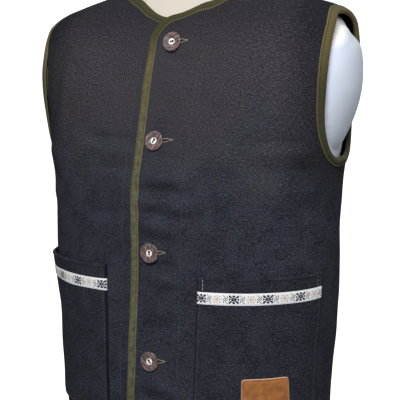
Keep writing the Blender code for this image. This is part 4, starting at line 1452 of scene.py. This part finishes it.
def add_leather_patch(material):
    """Sew on the bare patch: rings squared to a rounded rectangle, with a rounded rim.

    The rings run out under it and back in over its face.
    """
    turn = full_turn(PATCH_TURNS)
    half_width, half_height = (PATCH_OUTER - PATCH_INNER) / 2, PATCH_HEIGHT / 2
    circle = np.stack([np.cos(turn), np.sin(turn)])
    squared = np.sign(circle) * np.abs(circle) ** PATCH_SQUARENESS
    outline = squared * np.array([[half_width], [half_height]])
    share = np.sin(np.linspace(0.0, math.pi / 2, PATCH_RINGS + 1)[1:])[:, None]
    places = placed(PATCH_INNER + half_width + share * outline[0],
                    PATCH_TOP - half_height + share * outline[1])
    inset = (1.0 - share) * np.hypot(*outline)
    on_pocket = pocket_lift(places, "left")
    thick = PATCH_WALL * (0.35 + 0.65 * rounded_off(inset, PATCH_ROUND))
    outer = lifted(places, on_pocket + PATCH_GAP + thick - ridge(inset, PATCH_SEAM))
    inner = lifted(places, on_pocket + FINISH_GAP)
    points, faces = capped(np.concatenate([inner, outer[::-1]]),
                           inner[0].mean(axis=0), outer[0].mean(axis=0))
    # A quad is divided from its first corner, which is the second one here.
    faces = [face[1:] + face[:1] for face in faces]
    edge = np.clip(1.0 - inset / PATCH_EDGE_WIDTH, 0.0, 1.0)
    edge = np.concatenate([edge.ravel(), edge[::-1].ravel(), (0.0, 0.0)])
    return add_piece("leather_patch_hide", points, faces, material,
                     ("leather_patch",), weights={"edge": edge})


def button_seat(number):
    """Find a button's seat and its three axes: to the wearer's left, up and outwards.

    It stands on the highest cloth under its middle and under a ring round it.
    """
    height, across, turn = BUTTONS[number - 1]
    place = placed(across, height)
    outward = torso_normal(*place)
    left = unit(np.array([-outward[1], outward[0], 0.0]))
    up = np.cross(outward, left)
    angle = math.radians(turn)
    axes = np.stack([math.cos(angle) * left + math.sin(angle) * up,
                     math.cos(angle) * up - math.sin(angle) * left, outward])
    ring = full_turn(24)
    radius = BUTTON_SEAT_SHARE * BUTTON_RADIUS
    around = placed(across + radius * np.cos(ring), height + radius * np.sin(ring))
    highest = cloth_lift(np.vstack([around, place]), "left").max()
    return lifted(place, highest + BUTTON_STAND_OFF), axes


def add_button_horn(number, material):
    """Turn a button's horn rim: a closed section carried round its axis."""
    seat, axes = button_seat(number)
    section = np.array((
        (0.00410, 0.0000), (0.00410, 0.0020), (0.00435, 0.0025), (0.00510, 0.0027),
        (0.00720, 0.0028), (0.00940, 0.0030), (0.01050, 0.0032), (0.01120, 0.0033),
        (0.01180, 0.0031), (0.01220, 0.0027), (0.01245, 0.0022), (0.01250, 0.0017),
        (0.01230, 0.0011), (0.01170, 0.0005), (0.01050, 0.0000)))
    local = turned_round_axis(section[:, :1], section[:, 1:]).reshape(-1, 3)
    quads = grid_quads(len(section), BUTTON_TURNS, closed_rows=True, closed_columns=True)
    add_piece("button_horn_%d" % number, seat + local @ axes, quads[:, ::-1], material,
              ("button_%d" % number,), uv=local[:, :2] + number * HORN_STEP, sharp=70.0)


def turned_round_axis(radius, height):
    """Turn points of a radius and a height round an axis."""
    turn = full_turn(BUTTON_TURNS)
    parts = np.broadcast_arrays(radius * np.cos(turn), radius * np.sin(turn), height)
    return np.stack(parts, axis=-1)


def add_button_shell(number, material):
    """Turn a button's shell core: a dome with two hollows, a rounded rim and a flat base.

    One hollow is a little wider than the other.
    """
    seat, axes = button_seat(number)
    dome = np.linspace(0.0, BUTTON_CORE_RADIUS, BUTTON_CORE_RINGS + 1)[1:]
    radius = np.concatenate([dome, [0.00415, 0.0042, 0.0040]])[:, None]
    drop = np.concatenate([np.zeros(BUTTON_CORE_RINGS), [-0.0002, -0.0008, -0.0022]])[:, None]
    rings = turned_round_axis(radius, 0.0)
    across, up = rings[..., 0], rings[..., 1]
    apart = np.minimum(np.hypot(across - BUTTON_HOLE_OFFSET, up) * 0.78,
                       np.hypot(across + BUTTON_HOLE_OFFSET, up))
    hollow = eased((BUTTON_HOLE_RADIUS * 1.6 - apart) / 0.00035)
    sunk = 0.072 * radius ** 2 / BUTTON_CORE_RADIUS
    rings = turned_round_axis(radius, BUTTON_CORE_TOP - sunk + drop - BUTTON_HOLE_DEPTH * hollow)
    local, faces = capped(rings, (0.0, 0.0, BUTTON_CORE_TOP), (0.0, 0.0, BUTTON_CORE_BASE))
    hollow = np.concatenate([hollow.ravel(), (0.0, 0.0)])
    add_piece("button_shell_%d" % number, seat + local @ axes, [face[::-1] for face in faces],
              material, ("button_core_%d" % number,), weights={"hollow": hollow})


def form_lift(angle, height):
    """Keep the form inside the vest: slimmer below, and domed out inside each armhole."""
    sideways = np.abs(np.cos(angle))
    below = eased((FORM_WAIST_FROM - height) / (FORM_WAIST_FROM - FORM_WAIST_FULL))
    bare = np.clip((HEM_HEIGHT - height) / FORM_BARE_FADE, 0.0, 1.0)
    waist = FORM_WAIST_EASE * below * (1.0 - bare * (1.0 - FORM_STAND_EASE))
    on_top = eased((sideways - 0.75) / 0.15) * eased((height - 0.600) / 0.030)
    cap = FORM_CAP_BULGE * form_cap(angle, height) ** FORM_CAP_POWER
    return cap - FORM_CLEARANCE - waist - FORM_SHOULDER_EASE * on_top


def cap_folds(angle, height, depth):
    """Fold the caps' cover softly: a ridge and two troughs along slanting lines."""
    upper = height - CAP_FOLD_HEIGHT - CAP_FOLD_SLANT * (depth + 0.03)
    lower = height - CAP_LOW_HEIGHT + CAP_LOW_SLANT * depth
    folds = ridge(upper, CAP_RIDGE) + ridge(upper, CAP_TROUGH) + ridge(lower, CAP_LOW_TROUGH)
    return folds * eased(form_cap(angle, height) / 0.25)


def form_cap(angle, height):
    """Give how far a place lies inside an arm cap, an ellipse that fits the armhole."""
    middle = (SHOULDER_HEIGHT + UNDERARM_HEIGHT) / 2
    reach = (SHOULDER_HEIGHT - UNDERARM_HEIGHT) / 2
    side = np.arctan2(np.sin(angle), np.abs(np.cos(angle)))
    limit = np.where(side < 0.0, ARMHOLE_FRONT_ANGLE, ARMHOLE_BACK_ANGLE)
    far = ((height - middle) / reach) ** 2 + (side / limit) ** 2
    return np.clip(1.0 - far / FORM_CAP_SPREAD, 0.0, 1.0)


def form_side(angle, height):
    """Mark the form's sides round the arm caps, below the shoulder line."""
    sideways = eased((np.abs(np.cos(angle)) - 0.80) / 0.08)
    return sideways * eased((height - 0.44) / 0.02) * eased((0.66 - height) / 0.02)


def add_form(material):
    """Loft the padded form through level sections, closed flat below and domed above."""
    heights = np.concatenate([np.linspace(0.0, 0.44, 90)[:-1], np.linspace(0.44, 0.72, 150)[:-1],
                              np.linspace(0.72, FORM_NECK_TOP, 24)])
    angle, height = np.meshgrid(full_turn(FORM_TURNS), heights)
    places = np.stack([angle, height], axis=-1)
    lift = form_lift(angle, height)
    depth = lifted(places, lift)[..., 1]
    rings = lifted(places, lift + cap_folds(angle, height, depth))
    rings[0, :, 2] = 0.0
    middle = rings[-1].mean(axis=0)
    dome = np.array([(0.96, 0.0012), (0.85, 0.0026), (0.6, 0.0036), (0.3, FORM_NECK_DOME)])
    shrunk = middle + (rings[-1] - middle)[None] * dome[:, :1, None]
    shrunk[..., 2] += dome[:, 1:]
    base = rings[0].mean(axis=0)
    top = middle + (0.0, 0.0, FORM_NECK_DOME)
    points, faces = capped(np.concatenate([rings, shrunk]), base, top)
    cool = eased(form_cap(angle, height) / 0.02 + form_side(angle, height)).ravel()
    cool = np.concatenate([cool, np.zeros(len(points) - len(cool))])
    return add_piece("dress_form_cover", points, faces, material, ("dress_form",),
                     weights={"cap": cool})


def thread_runs(piece):
    """Lay the dark topstitching of one front: facing, hem, pocket sides and base."""
    mirror = piece == "right"
    lift_of = lift_for(piece)
    heights = np.linspace(HEM_HEIGHT + 0.004, FACING_TOP, 160)
    facing = placed(facing_across(heights, piece), heights)
    grid = pocket_grid(POCKET_BOTTOM, POCKET_TOP, POCKET_ROWS, POCKET_COLUMNS, piece)
    inset = POCKET_STITCH_INSET
    outline = np.concatenate([grid[:inset:-1, inset], grid[inset, inset:-inset],
                              grid[inset + 1:, -inset - 1]])
    hem_height = HEM_HEIGHT + HEM_STITCH_RISE
    start = surface_angle(edge_across(hem_height) + BINDING_WIDTH, hem_height)
    hem = np.stack([np.linspace(start, -0.01, 300), np.full(300, hem_height)], axis=-1)
    return [stitched(facing, lift_of, TOPSTITCH, mirror),
            stitched(outline, pocket_lift_for(piece), TOPSTITCH, mirror),
            stitched(hem, lift_of, HEM_STITCH, mirror)]


def binding_runs():
    """Lay the stitches in the groove beside each binding's rim."""
    edge, neck, loop = (beside(LAYOUT[name], BINDING_STITCH_INWARDS, name == "loop")
                        for name in ("edge", "neck", "loop"))
    rows = [(edge[2:-2], lift_for("left"), False), (edge[2:-2], lift_for("right"), True),
            (neck[1:-1], lift_for("back"), False), (loop, armhole_lift, False),
            (loop, armhole_lift, True)]
    return [stitched(path, lift_of, BINDING_STITCH, mirror, BINDING_STITCH_HEIGHT)
            for path, lift_of, mirror in rows]


def shoulder_runs():
    """Lay one row of stitches on each side of the shoulder seams."""
    heights = np.linspace(SHOULDER_HEIGHT + BINDING_WIDTH, NECK_SIDE_HEIGHT - BINDING_WIDTH, 240)
    offset = SHOULDER_STITCH_OFFSET / torso_column("half_width", heights)
    front, back = (np.stack([way * offset, heights], axis=-1) for way in (-1.0, 1.0))
    return [stitched(front, lift_for("left"), SHOULDER_STITCH),
            stitched(front, lift_for("right"), SHOULDER_STITCH, True),
            stitched(back, lift_for("back"), SHOULDER_STITCH),
            stitched(back, lift_for("back"), SHOULDER_STITCH, True)]


def light_runs():
    """Lay the pale stitches down the left pocket's edges."""
    grid = pocket_grid(POCKET_TOP - POCKET_HEM, POCKET_TOP, 12, POCKET_COLUMNS, "left")
    return [stitched(grid[1:-1, column], pocket_lift_for("left"), stitch)
            for column, stitch in ((4, MOUTH_STITCH), (-6, MOUTH_STITCH_FINE))]


def over_left_front(across, height, lift):
    """Lift points over the left front, with their normals."""
    places = placed(across, height)
    points = lifted(places, cloth_lift(places, "left") + lift)
    return points, torso_normal(places[..., 0], places[..., 1])


def hole_points(number, share, way, lift):
    """Lift points of a buttonhole: a share along it, and a way from -1 to 1 across it.

    Its width falls by the cube of the share.
    """
    height, across, _ = BUTTONS[number]
    start, tip = across + HOLE_START, across + BUTTONHOLE_REACH[number]
    rise = HOLE_RISE * share + way * HOLE_SPREAD * (1.0 - share ** 3)
    return over_left_front(start + (tip - start) * share, height + rise, lift)


def add_buttonholes(thread, shade):
    """Work the buttonholes: two whipped lips that meet at a bar, over a dark slit.

    The dark slit is a sheet of painted shade.
    """
    cords, slit_points, slit_faces = [], [], []
    share = np.linspace(0.0, 1.0, HOLE_STEPS)
    whip = (HOLE_LIP[0] + HOLE_LIP[1] * np.sin(share * 150.0)) * (1.0 - 0.35 * share)
    bar = np.linspace(-HOLE_BAR_HALF, HOLE_BAR_HALF, HOLE_STEPS)
    slit_share, slit_way = np.meshgrid(share[::3], np.linspace(-1.0, 1.0, 5))
    slit_quads = grid_quads(*slit_share.shape)
    for number, (height, across, _) in enumerate(BUTTONS):
        for way in (-1.0, 1.0):
            cords.append((*hole_points(number, share, way, HOLE_LIP_HEIGHT), whip))
        tip = across + BUTTONHOLE_REACH[number]
        line = over_left_front(tip + bar * 0.2, height + HOLE_RISE + bar, HOLE_BAR_HEIGHT)
        cords.append((*line, np.full(HOLE_STEPS, HOLE_BAR_RADIUS)))
        # A dark sheet of painted shade stands in for the slit's opening.
        outer, inner = (hole_points(number, slit_share, slit_way, lift)[0] for lift in HOLE_SLIT)
        points, faces = shell(outer, inner, slit_quads)
        slit_faces.append(faces + number * len(points))
        slit_points.append(points)
    points, faces = tube(*(np.stack(rows) for rows in zip(*cords)), 8)
    add_piece("buttonhole_lips", points, faces, thread, sharp=180.0)
    add_piece("buttonhole_slits", np.concatenate(slit_points), np.concatenate(slit_faces),
              shade)


# --- What a user may change ---

def colour(name, description, *default):
    return FloatVectorProperty(name=name, description=description, default=default,
                               min=0.0, max=1.0, size=3, subtype="COLOR")


def power(name, default):
    return FloatProperty(name=name, description="Power of the %s" % name.lower(),
                         default=default, min=0.0, unit="POWER")


class VestLook(bpy.types.PropertyGroup):
    """Colours and scales of the vest's cloth, trim and form."""

    wool_dark: colour("Dark Wool", "Darker dye of the melange wool", 0.0126, 0.0163, 0.0265)
    wool_light: colour("Light Wool", "Lighter dye of the melange wool", 0.0250, 0.0305, 0.0462)
    # This colour is painted warm light on the upper chest.
    wool_painted_warm_light: colour("Warm Wool", "Dye of the sun-warmed upper chest", 0.043, 0.039, 0.044)
    wool_brown: colour("Brown Wool", "Brown fibres spun into the yarn", 0.034, 0.030, 0.034)
    fleck: colour("Fleck", "Pale fibres in the wool", 0.090, 0.094, 0.119)
    mottle_scale: FloatProperty(name="Mottle Scale", description="Lumps of uneven dye in a metre",
                                default=42.0, min=1.0)
    fleck_scale: FloatProperty(name="Fleck Scale", description="Flecks in a metre",
                               default=620.0, min=1.0)
    twill_pitch: FloatProperty(name="Twill Pitch", default=0.0016, min=0.0002, unit="LENGTH",
                               description="Distance between the twill's ribs")
    binding_dark: colour("Dark Binding", "Shaded threads of the olive braid", 0.082, 0.080, 0.041)
    binding_light: colour("Light Binding", "Lit threads of the olive braid", 0.152, 0.150, 0.086)
    binding_gold: colour("Golden Binding", "Braid near the shoulders", 0.135, 0.100, 0.028)
    # Painted shade on the braid at the neck and under the arms.
    binding_shade_green: colour("Green Binding", "Braid at the neck and under the arms",
                          0.036, 0.037, 0.013)
    # Painted highlight along the braid's raised inner rim.
    binding_rim_highlight: colour("Binding Rim", "Inner rim of the braid", 0.230, 0.215, 0.130)
    leather_dark: colour("Dark Leather", "Handled parts of the patch", 0.250, 0.089, 0.023)
    leather_light: colour("Light Leather", "Rubbed parts of the patch", 0.400, 0.153, 0.040)
    leather_edge: colour("Leather Edge", "Raw cut edge of the patch", 0.68, 0.50, 0.34)
    horn: colour("Horn", "Middle tone of the buttons", 0.112, 0.071, 0.072)
    horn_dark: colour("Dark Horn", "Dark streaks of the buttons", 0.040, 0.022, 0.021)
    horn_pale: colour("Pale Horn", "Pale streaks of the buttons", 0.270, 0.200, 0.190)
    pearl: colour("Shell", "Shell core of the buttons", 0.930, 0.920, 0.890)
    dark_thread: colour("Dark Thread", "Topstitching thread", 0.070, 0.076, 0.098)
    light_thread: colour("Light Thread", "Contrast stitching", 0.420, 0.420, 0.430)
    form_cream: colour("Form Cover", "Jersey of the neck and body", 0.600, 0.553, 0.480)
    form_cap: colour("Arm Caps", "Jersey of the arm caps", 0.620, 0.680, 0.795)
    ribbon_start: IntProperty(name="Ribbon Start", default=5, min=0, max=RIBBON_REPEAT,
                              description="Threads from the ribbon's end to a star")
    with_stitches: BoolProperty(name="Topstitching", description="Sew the visible seams",
                                default=True)


class StageLook(bpy.types.PropertyGroup):
    """Floor and light."""

    floor: colour("Floor", "Colour of floor and backdrop", 0.93, 0.93, 0.94)
    key_power: power("Key Light", 60.0)
    fill_power: power("Fill Light", 5.0)
    back_power: power("Back Light", 6.0)
    glow_from: FloatProperty(name="Glow From", default=-0.2, unit="LENGTH",
                             description="How far behind the form the white backdrop starts")
    sky: FloatProperty(name="Sky", description="Strength of the white surroundings",
                       default=0.21, min=0.0)


# --- Operators ---

class VEST_OT_form(bpy.types.Operator):
    """Make the padded dress form"""

    bl_idname = "vest.form"
    bl_label = "Dress Form"

    def execute(self, context):
        add_form(jersey_finish(context.scene.vest_look))
        return {"FINISHED"}


class VEST_OT_panels(bpy.types.Operator):
    """Cut the two fronts and the back"""

    bl_idname = "vest.panels"
    bl_label = "Panels"

    def execute(self, context):
        wool = wool_finish(context.scene.vest_look)
        half_gap = SEAM_GAP / 2
        front = [parted(patch, -half_gap) for patch in LAYOUT["front"]]
        back = [parted(patch, half_gap) for patch in LAYOUT["back"]]
        left = add_panel("front_left", front, "left", wool)
        right = add_panel("front_right", front, "right", wool)
        rear = add_panel("back", back, "back", wool, reflected=True)
        return {"FINISHED"}


class VEST_OT_bindings(bpy.types.Operator):
    """Wrap the braid round the front edges, the neck and the armholes"""

    bl_idname = "vest.bindings"
    bl_label = "Bindings"

    def execute(self, context):
        braid = binding_finish(context.scene.vest_look)
        trim = BINDING_SEAM_GAP / 2
        for side in SIDES:
            made = add_binding("binding_front_" + side, LAYOUT["edge"], side, braid, trim=-trim)
        neck = add_binding("binding_back_neck", LAYOUT["neck"], "back", braid, trim=trim)
        for side in SIDES:
            hole = add_binding("binding_armhole_" + side, LAYOUT["loop"], "armhole_" + side,
                               braid, closed=True)
        return {"FINISHED"}


class VEST_OT_pockets(bpy.types.Operator):
    """Sew on the patch pockets, their ribbons and the leather patch"""

    bl_idname = "vest.pockets"
    bl_label = "Pockets"

    def execute(self, context):
        look = context.scene.vest_look
        wool = wool_finish(look, "pocket_wool", shade=POCKET_SHADE)
        woven = ribbon_finish()
        for side in SIDES:
            pocket = add_pocket(side, wool)
            ribbon = add_ribbon(side, woven, look.ribbon_start)
        patch = add_leather_patch(leather_finish(look))
        return {"FINISHED"}


class VEST_OT_buttons(bpy.types.Operator):
    """Turn the buttons and work their buttonholes"""

    bl_idname = "vest.buttons"
    bl_label = "Buttons"

    def execute(self, context):
        look = context.scene.vest_look
        horn, pearl = horn_finish(look), pearl_finish(look)
        for number in range(1, len(BUTTONS) + 1):
            add_button_horn(number, horn)
            add_button_shell(number, pearl)
        add_buttonholes(thread_finish("buttonhole_thread", BUTTONHOLE_THREAD),
                        thread_finish("buttonhole_shade", BUTTONHOLE_SHADE))
        return {"FINISHED"}


class VEST_OT_stitches(bpy.types.Operator):
    """Run the topstitching"""

    bl_idname = "vest.stitches"
    bl_label = "Topstitching"

    def execute(self, context):
        look = context.scene.vest_look
        dark = thread_finish("dark_thread", look.dark_thread)
        light = thread_finish("light_thread", look.light_thread)
        olive = thread_finish("olive_thread", look.binding_dark)
        dark_runs = thread_runs("left") + thread_runs("right") + shoulder_runs()
        add_stitches("topstitching_dark", dark_runs, dark)
        add_stitches("topstitching_light", light_runs(), light)
        add_stitches("topstitching_binding", binding_runs(), olive)
        return {"FINISHED"}


class VEST_OT_stage(bpy.types.Operator):
    """Set up the floor, the soft studio light and the camera"""

    bl_idname = "vest.stage"
    bl_label = "Stage"

    def execute(self, context):
        look = context.scene.stage_look
        add_backdrop(look)
        for name, place, target, size in LIGHTS:
            add_light(name, place, target, size, getattr(look, name + "_power"))
        world = bpy.data.worlds.new("white_room")
        world.use_nodes = True
        surroundings = world.node_tree.nodes["Background"]
        surroundings.inputs["Color"].default_value = (1.0, 1.0, 1.0, 1.0)
        surroundings.inputs["Strength"].default_value = look.sky
        context.scene.world = world
        context.scene.view_settings.view_transform = "Standard"
        add_camera(context.scene)
        return {"FINISHED"}


def add_backdrop(look):
    """Sweep a flat floor up into a wall: one profile carried along X.

    The profile runs level, turns up in a quarter circle and ends upright.
    """
    turn = np.linspace(0.0, math.pi / 2, 25)
    depth = np.concatenate([np.linspace(-6.0, 2.0, 17)[:-1], 2.0 + 2.5 * np.sin(turn), [4.5]])
    rise = np.concatenate([np.zeros(16), 2.5 * (1.0 - np.cos(turn)), [7.0]])
    across = np.linspace(-8.0, 8.0, 33)
    points = np.stack(np.broadcast_arrays(across, depth[:, None], rise[:, None]), axis=-1)
    floor = Finish("studio_floor", Roughness=0.9, Specular_IOR_Level=0.2, Emission_Strength=1.0)
    soft = floor.noise(3.0)
    _, behind, _ = floor.parts(floor.place())
    lit = floor.step(behind, look.glow_from, look.glow_from + 0.5)
    glow = floor.ramp(lit, ((0.0, 0.0), (1.0, 1.0)))
    base = floor.mixed(soft * 0.04, look.floor, FLOOR_CLOUD)
    mesh = bpy.data.meshes.new("backdrop")
    mesh.from_pydata(points.reshape(-1, 3).tolist(), [],
                     grid_quads(len(depth), len(across)).tolist())
    mesh.materials.append(floor.done(Base_Color=base, Emission_Color=glow))
    mesh.shade_smooth()
    made = bpy.data.objects.new("backdrop", mesh)
    made.visible_diffuse = False
    made.visible_glossy = False
    bpy.context.scene.collection.objects.link(made)


def add_light(name, place, target, size, power):
    """Hang a square soft light that faces a target."""
    lamp = bpy.data.lights.new(name, "AREA")
    lamp.size = size
    lamp.energy = power
    made = bpy.data.objects.new(name, lamp)
    bpy.context.scene.collection.objects.link(made)
    made.location = place
    made.rotation_euler = (Vector(target) - Vector(place)).to_track_quat("-Z", "Y").to_euler()


def add_camera(scene):
    """Stand the camera to the wearer's left of the front, level with the chest."""
    angles = (CAMERA_AZIMUTH, CAMERA_ELEVATION, CAMERA_ROLL)
    azimuth, elevation, roll = (math.radians(angle) for angle in angles)
    backwards = np.array([math.sin(azimuth) * math.cos(elevation),
                          -math.cos(azimuth) * math.cos(elevation), math.sin(elevation)])
    right = np.array([math.cos(azimuth), math.sin(azimuth), 0.0])
    up = np.cross(backwards, right)
    sideways = right * math.cos(roll) + up * math.sin(roll)
    upwards = up * math.cos(roll) - right * math.sin(roll)
    lens = bpy.data.cameras.new("camera")
    lens.sensor_fit = "HORIZONTAL"
    lens.sensor_width = CAMERA_SENSOR
    lens.lens = CAMERA_LENS
    camera = bpy.data.objects.new("camera", lens)
    turn = Matrix(np.stack([sideways, upwards, backwards], axis=1).tolist()).to_4x4()
    camera.matrix_world = Matrix.Translation(Vector(CAMERA_PLACE)) @ turn
    scene.collection.objects.link(camera)
    scene.camera = camera


class VEST_PT_panel(bpy.types.Panel):
    """The vest's pieces and finishes"""

    bl_label = "Folk Vest"
    bl_idname = "VEST_PT_panel"
    bl_space_type = "VIEW_3D"
    bl_region_type = "UI"
    bl_category = "Folk Vest"

    def draw(self, context):
        for group in (context.scene.vest_look, context.scene.stage_look):
            for name in group.bl_rna.properties.keys():
                if name not in {"rna_type", "name"}:
                    self.layout.prop(group, name)
        for operator in OPERATORS:
            self.layout.operator(operator.bl_idname)


OPERATORS = (VEST_OT_form, VEST_OT_panels, VEST_OT_bindings, VEST_OT_pockets, VEST_OT_buttons,
             VEST_OT_stitches, VEST_OT_stage)
CLASSES = (VestLook, StageLook, *OPERATORS, VEST_PT_panel)


def register():
    for made in CLASSES:
        bpy.utils.register_class(made)
    bpy.types.Scene.vest_look = PointerProperty(type=VestLook)
    bpy.types.Scene.stage_look = PointerProperty(type=StageLook)


def unregister():
    del bpy.types.Scene.stage_look
    del bpy.types.Scene.vest_look
    for made in reversed(CLASSES):
        bpy.utils.unregister_class(made)


def main():
    """Make every piece."""
    register()
    for step in OPERATORS:
        if step is VEST_OT_stitches and not bpy.context.scene.vest_look.with_stitches:
            continue
        getattr(bpy.ops.vest, step.bl_idname.split(".")[1])()


if __name__ == "__main__":
    main()
